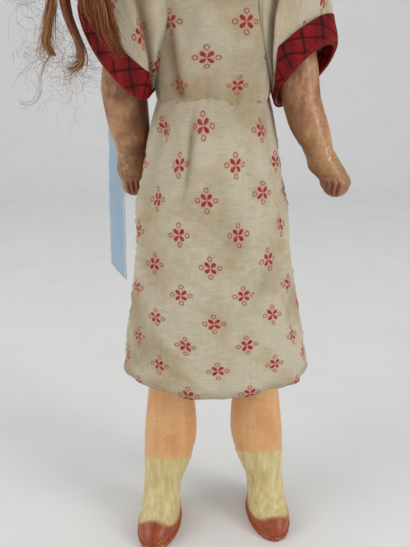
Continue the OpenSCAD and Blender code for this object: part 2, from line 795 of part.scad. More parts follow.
dress_sides = 40;
neckline_z = neck_z - 1;
neckline_r = collar_w + 1.2 + cloth_t;
blouse_z = waist_z + 10;
// Height, half width and half depth outside the cloth
bodice_stations = [
    [waist_z, waist_half_w + waist_ease + cloth_t, waist_half_d + waist_ease + cloth_t],
    [blouse_z, shoulder_x + chest_ease + cloth_t, chest_half_d + chest_ease + cloth_t + 1],
    [hip_z + chest_rise, shoulder_x + chest_ease + cloth_t, chest_half_d + chest_ease + cloth_t + 0.5],
    [shoulder_z, shoulder_x + chest_ease, chest_half_d + chest_ease - 1.5],
    [shoulder_z + 10, shoulder_x - 1, collar_w + 2.5],
    [neckline_z, neckline_r, neckline_r]];
function bodice_size(z) = along(bodice_stations, z);

// Small gathers above the waist
function gather(a, z) = 0.5 * cos(14 * a) * (1 - ease((z - waist_z) / 22));
function bodice_ring(z, inset) =
    let (s = bodice_size(z))
    [for (i = [0 : dress_sides - 1]) let (a = 360 * i / dress_sides, g = gather(a, z) - inset)
        [(s[1] + g) * cos(a), (s[2] + g) * sin(a), z]];

// Tall oval armhole in a side view: half depth, middle height and half height
hole_ease = 4.8;
hole_half_d = arm_disc_r + hole_ease;
hole_top_z = shoulder_z + arm_disc_r + hole_ease;
hole_low_z = waist_z + 5;
hole_mid_z = (hole_top_z + hole_low_z) / 2;
hole_half_h = (hole_top_z - hole_low_z) / 2;

module dress_bodice() {
    levels = 12;
    heights = [for (i = [0 : levels]) mix(waist_z, neckline_z, i / levels)];
    hole = [for (i = [0 : dress_sides - 1]) let (a = 360 * i / dress_sides)
        [hole_half_h * cos(a), hole_half_d * sin(a)]];
    start_x = neckline_r + 0.5;
    color(cotton_colour) difference() {
        shell([for (z = heights) bodice_ring(z, 0)], [for (z = heights) bodice_ring(z, cloth_t)]);
        for (s = [left, right]) on_side(s) translate([start_x, 0, hole_mid_z]) rotate([0, 90, 0])
            linear_extrude(height = shoulder_x) polygon(hole);
    }
}

// Outside of the bodice at a place in side view
function bodice_x(y, z) =
    let (s = bodice_size(z))
    s[1] * sqrt(max(0.05, 1 - pow(y / s[2], 2)));

// Sleeves, from the armhole at t = 0 to the rim at t = 1, grown by a margin
sleeve_sides = 24;
sleeve_lift = 21;
lift_share = 0.9;
cuff_low_out = 5;
hem_gap = 0.4;
// Top of a rim outwards and down, its bottom down, and its tilt towards the front
left_cuff_set = [left_cuff_out, left_cuff_drop, left_cuff_low, -left_cuff_tip];
right_cuff_set = [right_cuff_out, right_cuff_drop, right_cuff_low, right_cuff_tip];

// Ends of one line along a sleeve and the point that draws it over the shoulder
function sleeve_line(a, grow, cuff) =
    let (hy = (hole_half_d + grow) * sin(a), hz = hole_mid_z + (hole_half_h + grow) * cos(a),
        start = [max(neckline_r + 2, bodice_x(hy, min(hz, neckline_z)) + hem_gap), hy, hz],
        top = [shoulder_x + cuff[0], shoulder_z - cuff[1]],
        low = [shoulder_x + cuff_low_out, shoulder_z - cuff[2]],
        mid = (top + low) / 2, arm = (top - low) / 2,
        reach = 1 + grow / norm(arm), deep = 1 + grow / cuff_half_d,
        last = [mid[0] + arm[0] * reach * cos(a), cuff_half_d * deep * sin(a),
            mid[1] + arm[1] * reach * cos(a) + cuff[3] * deep * sin(a)],
        bow = (sleeve_lift + lift_share * cuff[1]) * ease((cos(a) + 0.4) / 1.4))
    [start, (start + last) / 2 + [bow * 0.16, 1.5 * sin(a), bow], last];
function sleeve_point(line, t) = line[0] * (1 - t) ^ 2 + line[1] * 2 * t * (1 - t) + line[2] * t ^ 2;
function sleeve_ring(t, grow, cuff) =
    [for (i = [0 : sleeve_sides - 1]) sleeve_point(sleeve_line(-360 * i / sleeve_sides, grow, cuff), t)];

// Ring of a cuff, from its upper edge at t = 0 to the rim, as wide all round as its sleeve allows
function cuff_ring(t, grow, cuff) =
    [for (i = [0 : sleeve_sides - 1])
        let (line = sleeve_line(-360 * i / sleeve_sides, grow, cuff),
            start = max(0.4, 1 - cuff_w / norm(2 * (line[2] - line[1]))))
        sleeve_point(line, mix(start, 1, t))];

module sleeve(side, cuff) {
    steps = 7;
    rows = [for (i = [0 : steps]) i / steps];
    color(cotton_colour) on_side(side)
        shell([for (t = rows) sleeve_ring(t, 0, cuff)], [for (t = rows) sleeve_ring(t, -cloth_t, cuff)]);
}

module left_sleeve() {
    sleeve(left, left_cuff_set);
}

module right_sleeve() {
    sleeve(right, right_cuff_set);
}

// Band turned back over the end of a sleeve
module turned_band(side, cuff) {
    steps = 3;
    rows = [for (i = [0 : steps]) i / steps];
    color(tartan_colour) on_side(side)
        shell([for (t = rows) cuff_ring(t, cloth_t + joint_gap, cuff)],
            [for (t = rows) cuff_ring(t, joint_gap, cuff)]);
}

module left_cuff() {
    turned_band(left, left_cuff_set);
}

module right_cuff() {
    turned_band(right, right_cuff_set);
}

// Skirt sizes: height, half width and half depth outside the cloth
skirt_hip_w = thigh_face_x + thigh_t + skirt_hip_ease + cloth_t;
skirt_top_z = waist_z - hem_gap;
skirt_stations = [
    [hem_z, hem_half_w, hem_half_d],
    [mix(hem_z, hip_z, 0.5), mix(hem_half_w, skirt_hip_w, 0.6), mix(hem_half_d, 33, 0.4)],
    [hip_z, skirt_hip_w, 33],
    [hip_z + belly_rise, belly_half_w + 5.5, belly_half_d + 8],
    [skirt_top_z, waist_half_w + waist_ease + cloth_t + 0.6, waist_half_d + waist_ease + cloth_t + 0.6]];

// Folds round the skirt: angle, depth, spread in degrees, share of the length that they run down
skirt_folds = [
    [251, 1.5, 5, 0.6], [243, -1.1, 5, 0.6], [226, 0.8, 8, 0.7], [292, 0.5, 9, 0.5], [318, 0.6, 8, 0.8],
    [20, 0.8, 9, 0.9], [55, 1, 8, 0.9], [88, 0.9, 8, 0.9], [122, 1, 8, 0.9], [155, 0.8, 9, 0.9],
    [190, 0.6, 9, 0.8]];
function turn_gap(a, b) = let (d = abs(a - b) % 360) min(d, 360 - d);
function fold_sum(a, t, i = 0) =
    i >= len(skirt_folds) ? 0
    : let (f = skirt_folds[i])
        f[1] * bell(turn_gap(a, f[0]), f[2]) * (1 - ease(t - f[3])) * ease(t * 7) + fold_sum(a, t, i + 1);
function skirt_ring(z, inset) =
    let (s = along(skirt_stations, z), t = (skirt_top_z - z) / (skirt_top_z - hem_z))
    [for (i = [0 : dress_sides - 1])
        let (a = 360 * i / dress_sides, g = fold_depth * fold_sum(a, t) - inset)
        [hem_sway * t ^ 2 + (s[1] + g) * cos(a), (s[2] + g) * sin(a), z]];

module dress_skirt() {
    levels = 12;
    heights = [for (i = [0 : levels]) mix(hem_z, skirt_top_z, i / levels)];
    color(cotton_colour)
        shell([for (z = heights) skirt_ring(z, 0)], [for (z = heights) skirt_ring(z, cloth_t)]);
}

module neck_binding() {
    binding_r = 0.9;
    color(cotton_colour) translate([0, 0, neckline_z + binding_r + 0.05])
        rotate_extrude() translate([neckline_r - cloth_t / 2, 0]) circle(r = binding_r);
}

// Buttons down the back opening
button_count = 3;
button_h = 1.6;
module back_buttons() {
    color(button_colour) for (i = [0 : button_count - 1])
        let (z = mix(waist_z + 16, shoulder_z + 4, i / (button_count - 1)))
        translate([0, bodice_size(z)[2] - 0.3, z]) rotate([-90, 0, 0]) cylinder(h = button_h, r = button_r);
}

head_shell();
crown_pate();
left_eye();
right_eye();
wig_cap();
back_hair();
right_hair();
left_hair();
hair_bow();
ribbon_tail();
back_ribbon_tail();
neck_button();
neck_hook();
torso_front();
torso_back();
arm_elastic();
leg_elastic();
left_arm();
right_arm();
left_arm_hook();
right_arm_hook();
left_leg();
right_leg();
left_leg_hook();
right_leg_hook();
dress_bodice();
dress_skirt();
left_sleeve();
right_sleeve();
left_cuff();
right_cuff();
neck_binding();
back_buttons();
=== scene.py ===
"""Looks of a strung play doll: pressed-cardboard head, composition limbs and a printed cotton dress."""

import json
import logging
import math
from dataclasses import dataclass, field
from enum import Enum
from functools import partial
from typing import Any, Callable, Sequence

import bpy
import numpy as np
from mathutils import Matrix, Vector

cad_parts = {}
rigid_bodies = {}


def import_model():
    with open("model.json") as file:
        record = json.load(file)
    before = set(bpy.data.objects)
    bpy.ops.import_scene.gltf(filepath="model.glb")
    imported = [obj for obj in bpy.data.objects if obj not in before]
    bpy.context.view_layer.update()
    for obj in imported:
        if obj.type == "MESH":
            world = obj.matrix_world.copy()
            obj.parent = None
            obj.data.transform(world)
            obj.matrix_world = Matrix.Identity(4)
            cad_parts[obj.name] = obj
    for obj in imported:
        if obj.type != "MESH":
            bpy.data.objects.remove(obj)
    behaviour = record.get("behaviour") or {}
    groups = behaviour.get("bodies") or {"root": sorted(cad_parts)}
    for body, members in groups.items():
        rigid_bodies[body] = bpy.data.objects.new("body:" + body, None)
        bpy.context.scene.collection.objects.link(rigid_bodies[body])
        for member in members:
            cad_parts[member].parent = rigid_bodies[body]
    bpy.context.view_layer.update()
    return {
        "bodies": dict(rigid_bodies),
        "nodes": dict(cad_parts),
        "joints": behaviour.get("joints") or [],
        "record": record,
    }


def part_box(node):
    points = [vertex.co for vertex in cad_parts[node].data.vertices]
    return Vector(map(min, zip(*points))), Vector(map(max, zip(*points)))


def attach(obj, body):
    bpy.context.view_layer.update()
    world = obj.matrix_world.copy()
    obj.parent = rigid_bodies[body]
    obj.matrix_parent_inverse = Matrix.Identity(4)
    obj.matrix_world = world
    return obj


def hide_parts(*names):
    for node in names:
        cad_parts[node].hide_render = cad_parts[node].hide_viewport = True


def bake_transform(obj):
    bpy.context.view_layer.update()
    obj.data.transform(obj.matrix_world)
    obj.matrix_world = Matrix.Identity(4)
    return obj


Array = np.ndarray
Tree = bpy.types.NodeTree
Node = bpy.types.Node
Object = bpy.types.Object
Material = bpy.types.Material
# Adds a node to the tree that it is bound to
Put = Callable[..., Node]

LOG = logging.getLogger("doll")
MM = 0.001
TAU = 2 * math.pi


class Side(Enum):
    """The doll's own side, as the sign of x."""

    LEFT = 1
    RIGHT = -1

    def named(self, word: str) -> str:
        """The name of a piece on this side."""
        return f"{self.name.lower()}_{word}"

    @property
    def mirror(self) -> Array:
        """Factors that bring points with x outwards to this side."""
        return np.array([self.value, 1, 1])


# Helpers for shapes


def ease(t: Array) -> Array:
    """Smooth step from 0 to 1, level at both ends."""
    c = np.clip(t, 0, 1)
    return c * c * (3 - 2 * c)


def bell(distance: Array, spread: float) -> Array:
    """Bell of height 1 at distance 0."""
    return np.exp(-0.5 * (distance / spread) ** 2)


def turn_gap(angle: Array, centre: Array | float) -> Array:
    """Signed difference of two angles in degrees, from -180 to 180."""
    return (angle - centre + 180) % 360 - 180


def toward(angle: Array, centre: Array | float, spread: float) -> Array:
    """Bell of angles in degrees round a centre."""
    return bell(turn_gap(angle, centre), spread)


def circle(columns: int, whole: float = TAU) -> Array:
    """Even angles of a ring's columns, as one row."""
    return np.linspace(0, whole, columns, endpoint=False)[None]


def through(stations: Sequence[Sequence[float]], at: Array) -> Array:
    """Smooth curve through stations whose first entry is the place along the curve.

    Each span is a cubic whose end slopes are those of the chord between the neighbouring stations.

    Args:
        stations: Rows of a place and its values, in rising order of place.
        at: Places at which the curve is wanted, of any shape.

    Returns:
        The values, with one more axis than the places.
    """
    rows = np.asarray(stations, float)
    last = len(rows) - 1
    before = rows[np.maximum(np.arange(last + 1) - 1, 0)]
    after = rows[np.minimum(np.arange(last + 1) + 1, last)]
    slopes = (after - before) / (after[:, :1] - before[:, :1])
    i = np.clip(np.searchsorted(rows[:, 0], at) - 1, 0, last - 1)
    span = (rows[i + 1, 0] - rows[i, 0])[..., None]
    t = (at - rows[i, 0])[..., None] / span
    rise = 3 * t**2 - 2 * t**3
    return (rows[i] * (1 - rise) + rows[i + 1] * rise
            + slopes[i] * span * (t**3 - 2 * t**2 + t) + slopes[i + 1] * span * (t**3 - t**2))


def wander(places: Array, length: float, seed: int, waves: int = 7) -> Array:
    """Smooth unevenness: a sum of sine waves of about one length in seeded directions.

    Args:
        places: Points whose last axis holds coordinates.
        length: Wave length in the same unit.
        seed: Seed of the directions and phases.
        waves: Number of waves.

    Returns:
        Values of about -1.5 to 1.5, one for each point.
    """
    rng = np.random.default_rng(seed)
    ways = rng.normal(size=(waves, places.shape[-1]))
    ways *= TAU / length * rng.uniform(0.6, 1.5, (waves, 1)) / np.linalg.norm(ways, axis=1, keepdims=True)
    return np.sin(places @ ways.T + rng.uniform(0, TAU, waves)).sum(-1) / math.sqrt(waves)


def unit(vectors: Array) -> Array:
    """Vectors of length 1 along the last axis."""
    return vectors / np.maximum(np.linalg.norm(vectors, axis=-1, keepdims=True), 1e-9)


def stack(*parts: Array | float) -> Array:
    """Coordinates side by side on a last axis, each spread to the shape of all."""
    return np.stack(np.broadcast_arrays(*parts), -1)


def row_lengths(points: Array) -> Array:
    """Length along each ring of a grid from its first column, with the closing step as a last column."""
    ring = np.concatenate([points, points[:, :1]], axis=1)
    steps = np.linalg.norm(np.diff(ring, axis=1), axis=2)
    return np.concatenate([np.zeros((len(points), 1)), np.cumsum(steps, axis=1)], axis=1)


def column_lengths(points: Array) -> Array:
    """Length down each column of a grid from its first row."""
    steps = np.linalg.norm(np.diff(points, axis=0), axis=2)
    return np.concatenate([np.zeros((1, points.shape[1])), np.cumsum(steps, axis=0)], axis=0)


def close_ring(values: Array) -> Array:
    """Values of a ring with the first column repeated at the end."""
    return np.concatenate([values, values[:, :1]], axis=1)


def inside_out(points: Array) -> bool:
    """Tells whether a ring grid's faces would point to the middle of their rings."""
    ring = close_ring(points)
    normal = np.cross(ring[:-1, 1:] - ring[:-1, :-1], ring[1:, :-1] - ring[:-1, :-1])
    middle = points[:-1].mean(axis=1, keepdims=True)
    return float((normal * (ring[:-1, :-1] - middle)).sum()) < 0


class Piece:
    """Collects grids and strands of points in millimetres and makes one mesh object of them."""

    def __init__(self, name: str) -> None:
        """Starts an empty piece of that name."""
        self.name = name
        self.points: list[Array] = []
        self.faces: list[tuple[Array, dict[str, Array]]] = []
        self.marks: list[dict[str, Array]] = []
        self.count = 0

    def _take(self, points: Array, marks: dict[str, Array]) -> int:
        """Adds points with their marks and returns the index of the first."""
        start = self.count
        self.points.append(points)
        self.marks.append(marks)
        self.count += len(points)
        return start

    def grid(self, points: Array, wrap: bool = False, fans: tuple[bool, bool] = (False, False),
             maps: dict[str, Array] | None = None, marks: dict[str, Array | float] | None = None,
             keep: Array | None = None, flip: bool = False) -> None:
        """Adds a surface given as rows and columns of points.

        Args:
            points: Rows by columns by 3.
            wrap: Joins the last column to the first, and turns the faces outwards.
            fans: Closes the first and the last row to a point at its middle.
            maps: UV maps, rows by columns, with one more column where the grid wraps.
            marks: Values at the points, spread to rows by columns.
            keep: True for each cell that stays.
            flip: Turns the faces over.
        """
        rows, cols = points.shape[:2]
        maps = maps or {}
        marks = {k: np.broadcast_to(v, (rows, cols)) for k, v in (marks or {}).items()}
        start = self._take(points.reshape(-1, 3), {k: v.reshape(-1) for k, v in marks.items()})
        index = start + np.arange(rows * cols).reshape(rows, cols)
        ring = close_ring(index) if wrap else index
        turn = flip != (wrap and inside_out(points))
        low, high = slice(None, -1), slice(1, None)
        corners = [(low, low), (low, high), (high, high), (high, low)]
        corners = corners[::-1] if turn else corners
        cells = np.ones((rows - 1, ring.shape[1] - 1), bool) if keep is None else keep
        quads = np.stack([ring[c] for c in corners], -1)[cells]
        self.faces.append((quads, {k: np.stack([v[c] for c in corners], -2)[cells] for k, v in maps.items()}))
        for end in (end for end, wanted in zip((0, -1), fans) if wanted):
            middle = self._take(points[end].mean(0)[None], {k: v[end].mean()[None] for k, v in marks.items()})
            order = [0, 1, 2] if (end == 0) != turn else [0, 2, 1]
            edge = ring[end]
            fan = stack(np.full(len(edge) - 1, middle), edge[1:], edge[:-1])[:, order]
            uv = {k: np.stack([np.broadcast_to(v[end].mean(0), v[end][1:].shape), v[end][1:], v[end][:-1]],
                              1)[:, order] for k, v in maps.items()}
            self.faces.append((fan, uv))

    def strands(self, paths: Array, radius: Array, marks: dict[str, Array]) -> None:
        """Adds thin three-sided tubes along many paths at once.

        Args:
            paths: Strands by points by 3.
            radius: Strands by points.
            marks: Values at the points, strands by points.
        """
        count, length = paths.shape[:2]
        ahead = unit(np.gradient(paths, axis=1))
        aside = unit(np.cross(ahead, np.array([0.31, 0.93, 0.2])))
        over = np.cross(ahead, aside)
        turns = np.arange(3) * TAU / 3
        ring = (paths[:, :, None] + radius[:, :, None, None]
                * (aside[:, :, None] * np.cos(turns)[:, None] + over[:, :, None] * np.sin(turns)[:, None]))
        start = self._take(ring.reshape(-1, 3), {k: np.repeat(v.reshape(-1), 3) for k, v in marks.items()})
        index = start + np.arange(count * length * 3).reshape(count, length, 3)
        beside = np.roll(index, -1, axis=2)
        quads = stack(index[:, :-1], beside[:, :-1], beside[:, 1:], index[:, 1:])
        self.faces.append((quads.reshape(-1, 4), {}))
        self.faces.append((np.concatenate([index[:, 0, ::-1], index[:, -1]]), {}))

    def finish(self, finish: "Finish", *nodes: str) -> Object:
        """Makes the mesh object.

        Args:
            finish: The finish of the whole piece.
            *nodes: The nodes that it stands for.

        Returns:
            The object, at the origin, with smooth faces, UV maps and marks.
        """
        mesh = bpy.data.meshes.new(self.name)
        mesh.vertices.add(self.count)
        mesh.vertices.foreach_set("co", (np.concatenate(self.points) * MM).ravel())
        corners = np.concatenate([faces.ravel() for faces, _ in self.faces])
        sizes = np.concatenate([np.full(len(faces), faces.shape[1]) for faces, _ in self.faces])
        mesh.loops.add(len(corners))
        mesh.loops.foreach_set("vertex_index", corners.astype(np.int32))
        mesh.polygons.add(len(sizes))
        mesh.polygons.foreach_set("loop_start", (np.cumsum(sizes) - sizes).astype(np.int32))
        mesh.polygons.foreach_set("use_smooth", np.ones(len(sizes), bool))
        for key in sorted({k for _, uv in self.faces for k in uv}):
            flat = np.concatenate([uv[key].reshape(-1) if key in uv else np.zeros(faces.size * 2)
                                   for faces, uv in self.faces])
            mesh.uv_layers.new(name=key).data.foreach_set("uv", flat.astype(np.float32))
        for key in sorted({k for marks in self.marks for k in marks}):
            values = np.concatenate([marks[key] if key in marks else np.zeros(len(points))
                                     for points, marks in zip(self.points, self.marks)])
            mesh.attributes.new(key, "FLOAT", "POINT").data.foreach_set("value", values.astype(np.float32))
        mesh.update(calc_edges=True)
        mesh.validate()
        mesh.materials.append(finish.material())
        made = bpy.data.objects.new(self.name, mesh)
        bpy.context.scene.collection.objects.link(made)
        if nodes:
            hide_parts(*nodes)
        return made


def thicken(piece: Object, thickness: float) -> Object:
    """Gives a sheet its thickness in millimetres, inwards from its modelled face."""
    wall = piece.modifiers.new("cloth", "SOLIDIFY")
    wall.thickness = thickness * MM
    wall.offset = -1
    wall.use_even_offset = False
    return piece


# Helpers for finishes


def linear(colour: str) -> tuple[float, float, float, float]:
    """Turns an sRGB hex colour into linear red, green, blue and a full alpha."""
    srgb = np.array([int(colour[i:i + 2], 16) for i in (1, 3, 5)]) / 255
    values = np.where(srgb <= 0.04045, srgb / 12.92, ((srgb + 0.055) / 1.055) ** 2.4)
    return (*values.tolist(), 1)


def feed(node: Node, inputs: dict[Any, Any]) -> None:
    """Sets or links the live inputs of a node.

    Args:
        node: The node.
        inputs: A value, a node (its first live output) or a socket for each input, by name or by place
            among the live inputs.
    """
    live = [s for s in node.inputs if s.enabled]
    for key, value in inputs.items():
        socket = live[key] if isinstance(key, int) else next(s for s in live if s.name == key)
        if isinstance(value, Node):
            value = next(s for s in value.outputs if s.enabled)
        if isinstance(value, bpy.types.NodeSocket):
            node.id_data.links.new(value, socket)
        else:
            socket.default_value = value


def add(tree: Tree, kind: str, *values: Any, **settings: Any) -> Node:
    """Adds one node and feeds its inputs.

    Args:
        tree: The material's tree.
        kind: The type's name without its first part, with the operation after a dot.
        *values: The live inputs in order, or one table of them by name.
        **settings: The node's own settings.

    Returns:
        The node.
    """
    name, _, operation = kind.partition(".")
    node = tree.nodes.new(f"ShaderNode{name}")
    for key, value in {**settings, **({"operation": operation} if operation else {})}.items():
        setattr(node, key, value)
    feed(node, values[0] if values and isinstance(values[0], dict) else dict(enumerate(values)))
    return node


@dataclass(frozen=True)
class Finish:
    """A surface finish that makes its material once."""

    name: str

    def build(self, put: Put, shader: Node) -> None:
        """Fills the shader's sockets."""
        raise NotImplementedError

    def material(self) -> Material:
        """The material of this finish."""
        name = f"{self.name}_finish"
        found = bpy.data.materials.get(name)
        if found:
            return found
        made = bpy.data.materials.new(name)
        made.use_nodes = True
        tree = made.node_tree
        tree.nodes.clear()
        shader = add(tree, "BsdfPrincipled")
        add(tree, "OutputMaterial", {"Surface": shader})
        self.build(partial(add, tree), shader)
        return made

    @staticmethod
    def places(put: Put, stretch: tuple[float, float, float] = (1, 1, 1)) -> Node:
        """Object coordinates in millimetres, divided by a stretch along each axis."""
        scale = tuple(1 / MM / s for s in stretch)
        return put("VectorMath.MULTIPLY", put("TexCoord").outputs["Object"], scale)

    @staticmethod
    def mark(put: Put, name: str) -> bpy.types.NodeSocket:
        """A value that the piece's mesh carries under that name."""
        return put("Attribute", attribute_name=name).outputs["Fac"]

    @staticmethod
    def coats(put: Put, ground: Any, layers: Sequence[tuple[Any, ...]]) -> Any:
        """Lays colours over a ground one after another.

        Args:
            put: Adds a node to the material's tree.
            ground: The first colour, as a hex value or a node.
            layers: A mask and a colour for each coat, or a value, its range and a colour.

        Returns:
            The node of the last coat.
        """
        colour = linear(ground) if isinstance(ground, str) else ground
        for *mask, paint in layers:
            over = linear(paint) if isinstance(paint, str) else paint
            factor = mask[0] if len(mask) == 1 else put("MapRange", *mask)
            colour = put("Mix", {"Factor": factor, "A": colour, "B": over}, data_type="RGBA")
        return colour


@dataclass(frozen=True)
class PrintedCotton(Finish):
    """Slubby calico, block-printed with small flowers, aged and stained.

    Plain-woven cotton is matt and uneven: thick and thin threads show as short streaks, damp leaves ochre
    clouds, and hand printing leaves a pink bleed round the red and soft edges.
    """

    name: str = "printed_cotton"
    ground: str = "#CEC3AA"
    slub: str = "#A99C82"
    pale: str = "#D9D1BC"
    stain: str = "#B59C70"
    damp: str = "#978463"
    # Brown of the painted shade in the folds and under the waist, and of a darker hem edge
    soil: str = "#6E4A2A"
    speck: str = "#7E6444"
    petal: str = "#981822"
    petal_brown: str = "#86201F"
    ring: str = "#7C4238"
    halo: str = "#DE8F7C"
    thread: str = "#D9CDB2"
    # Thread spacing in millimetres, about twice the real one so that it shows
    thread_mm: float = 0.8
    slub_mm: float = 8.0
    stain_mm: float = 26.0
    stitch_mm: float = 3.2
    hem_mm: float = 8.5
    # Sizes of the motif as shares of the distance between two rows of flowers
    petal_l: float = 0.172
    petal_w: float = 0.132
    ring_at: float = 0.147
    ring_r: float = 0.045
    ring_line: float = 0.0125

    def build(self, put: Put, shader: Node) -> None:
        """Draws the ground, the flowers, the stains, the weave and painted shade in the folds."""
        cloth = put("UVMap", uv_map="weave")
        flowers = self._flowers(put, cloth)
        fine = 0.7
        weft, warp = (
            put("TexNoise", put("VectorMath.MULTIPLY", cloth, scale), 1, 3)
            for scale in ((1 / self.slub_mm, 1 / fine, 1), (1 / fine, 1 / self.slub_mm, 1)))
        cloud, broad, grain = (
            put("TexNoise", cloth, 1 / size, 6, 0.6)
            for size in (self.stain_mm, 2.3 * self.stain_mm, 1.6))
        stitch = self._stitches(put, cloth)
        red = self.coats(put, self.petal, [(cloud, self.petal_brown)])
        # The last coat is the cloth's brown mark: painted shade in folds and under the waist
        colour = self.coats(put, self.ground, [
            (weft, 0.45, 0.75, 0, 0.5, self.slub),
            (warp, 0.50, 0.80, 0, 0.62, self.pale),
            (cloud, 0.47, 0.70, 0, 0.78, self.stain),
            (broad, 0.49, 0.66, 0, 0.7, self.damp),
            (grain, 0.66, 0.74, 0, 0.6, self.speck),
            (flowers["halo"], self.halo), (flowers["ring"], self.ring), (flowers["petal"], red),
            (stitch, self.thread), (self.mark(put, "soil"), self.soil)])
        height = self._weave(put, cloth)
        for part, share in ((weft, 1.6), (warp, 1.2), (stitch, 1.5)):
            height = put("Math.MULTIPLY_ADD", part, share, height)
        bump = put("Bump", {"Strength": 0.55, "Distance": 0.25 * MM, "Height": height})
        feed(shader, {"Base Color": colour, "Normal": bump, "Roughness": 0.88, "Specular IOR Level": 0.2,
                      "Sheen Weight": 0.1, "Sheen Roughness": 0.5})

    def _weave(self, put: Put, cloth: Node) -> Node:
        """Plain weave: the product of a sine wave across and one down the cloth."""
        parts = put("SeparateXYZ", put("VectorMath.MULTIPLY", cloth, (TAU / self.thread_mm,) * 3))
        weft, warp = (put("Math.SINE", parts.outputs[i]) for i in (0, 1))
        return put("Math.MULTIPLY", weft, warp)

    def _stitches(self, put: Put, cloth: Node) -> Node:
        """Running stitches along the hem; the cloth's second coordinate is the height above its edge."""
        parts = put("SeparateXYZ", cloth)
        off = put("Math.COMPARE", parts.outputs[1], self.hem_mm, 0.28)
        step = put("Math.FLOORED_MODULO", parts.outputs[0], self.stitch_mm)
        shown = put("MapRange", step, 0.5 * self.stitch_mm, 0.6 * self.stitch_mm, 0.35, 0)
        return put("Math.MULTIPLY", off, shown)

    def _flowers(self, put: Put, cloth: Node) -> dict[str, Node]:
        """Masks of the print.

        The print map counts rows of flowers. Turned by 45 degrees, every whole number is a flower. From the
        nearest one, a petal is a drop along each turned axis, as wide as t times the root of 1 - t, and a
        thin ring lies between each two petals.

        Args:
            put: Adds a node to the material's tree.
            cloth: The cloth's map in millimetres.

        Returns:
            The masks named petal, ring and halo.
        """
        bleed = put("TexNoise", cloth, 1 / 0.9, 2)
        lattice = put("VectorMath.MULTIPLY_ADD", bleed.outputs["Color"], (0.02, 0.02, 0),
                      put("UVMap", uv_map="print"))
        parts = put("SeparateXYZ", lattice)
        turned = (put(f"Math.{way}", parts.outputs[0], parts.outputs[1]) for way in ("ADD", "SUBTRACT"))
        c, d = (put("Math.PINGPONG", way, 0.5) for way in turned)
        along, aside = (put(f"Math.{way}", c, d) for way in ("MAXIMUM", "MINIMUM"))
        t = put("Math.DIVIDE", along, self.petal_l)
        left = put("Math.SUBTRACT", 1, t, use_clamp=True)
        width = put("Math.MULTIPLY", t, put("Math.SQRT", left))
        inside = put("Math.SUBTRACT", put("Math.MULTIPLY", width, self.petal_w), aside)
        petal = put("MapRange", inside, 0, 0.012)
        fade = put("TexNoise", cloth, 1 / 2.6, 4)
        kept = put("MapRange", fade, 0.35, 0.75, 1, 0.78)
        spot = put("CombineXYZ", c, d)
        centre = put("VectorMath.DISTANCE", spot, (self.ring_at, self.ring_at, 0))
        line = put("Math.ABSOLUTE", put("Math.SUBTRACT", centre, self.ring_r))
        ring = put("MapRange", line, 0.5 * self.ring_line, 1.5 * self.ring_line, 0.85, 0)
        far = put("VectorMath.LENGTH", spot)
        glow = put("MapRange", line, self.ring_line, 4 * self.ring_line, 0.35, 0)
        halo = put("Math.MAXIMUM", put("MapRange", far, 0.13, 0.21, 0.6, 0), glow)
        petal, ring = (put("Math.MULTIPLY", mask, kept) for mask in (petal, ring))
        return {"petal": petal, "ring": ring, "halo": halo}


@dataclass(frozen=True)
class Tartan(Finish):
    """Red wool-and-cotton plaid cut on the bias for the cuffs.

    Dark lines cross a brick red, darker where they overlap, and a broad shade runs one way. The twill
    catches light a little more than the calico, and the turned edge is painted paler.
    """

    name: str = "tartan"
    red: str = "#86191A"
    bright: str = "#9A2A26"
    shade: str = "#62151A"
    line: str = "#1F0D12"
    sett_mm: float = 8.0
    line_mm: float = 1.2
    # Twill rib, drawn about twice its real spacing so that it shows
    twill_mm: float = 0.9

    def build(self, put: Put, shader: Node) -> None:
        """Draws the crossing lines on the turned cloth map."""
        cloth = put("UVMap", uv_map="weave")
        parts = put("SeparateXYZ", cloth)
        period, half_line = self.sett_mm * math.sqrt(2), self.line_mm / math.sqrt(2)
        ways = [put(f"Math.{way}", parts.outputs[0], parts.outputs[1]) for way in ("ADD", "SUBTRACT")]
        folds = [put("Math.PINGPONG", way, period / 2) for way in ways]
        lines = [put("MapRange", fold, half_line - 0.4, half_line + 0.5, 0.72, 0) for fold in folds]
        broad = put("Math.PINGPONG", ways[0], period)
        fluff = put("TexNoise", cloth, 1 / 1.2, 4)
        patch = put("TexNoise", cloth, 1 / 9, 3)
        colour = self.coats(put, self.red, [
            (patch, 0.45, 0.7, 0, 0.7, self.bright),
            (broad, period * 0.42, period * 0.58, 0, 0.6, self.shade),
            *((mask, self.line) for mask in lines), (self.mark(put, "edge"), self.bright)])
        worn = put("MapRange", fluff, 0.35, 0.75, 0.75, 1.2)
        colour = put("VectorMath.SCALE", colour, worn)
        rib = put("Math.SINE", put("Math.MULTIPLY", parts.outputs[0], TAU / self.twill_mm))
        height = put("Math.MULTIPLY_ADD", fluff, 2, rib)
        bump = put("Bump", {"Strength": 0.5, "Distance": 0.2 * MM, "Height": height})
        feed(shader, {"Base Color": colour, "Normal": bump, "Roughness": 0.85, "Specular IOR Level": 0.15})


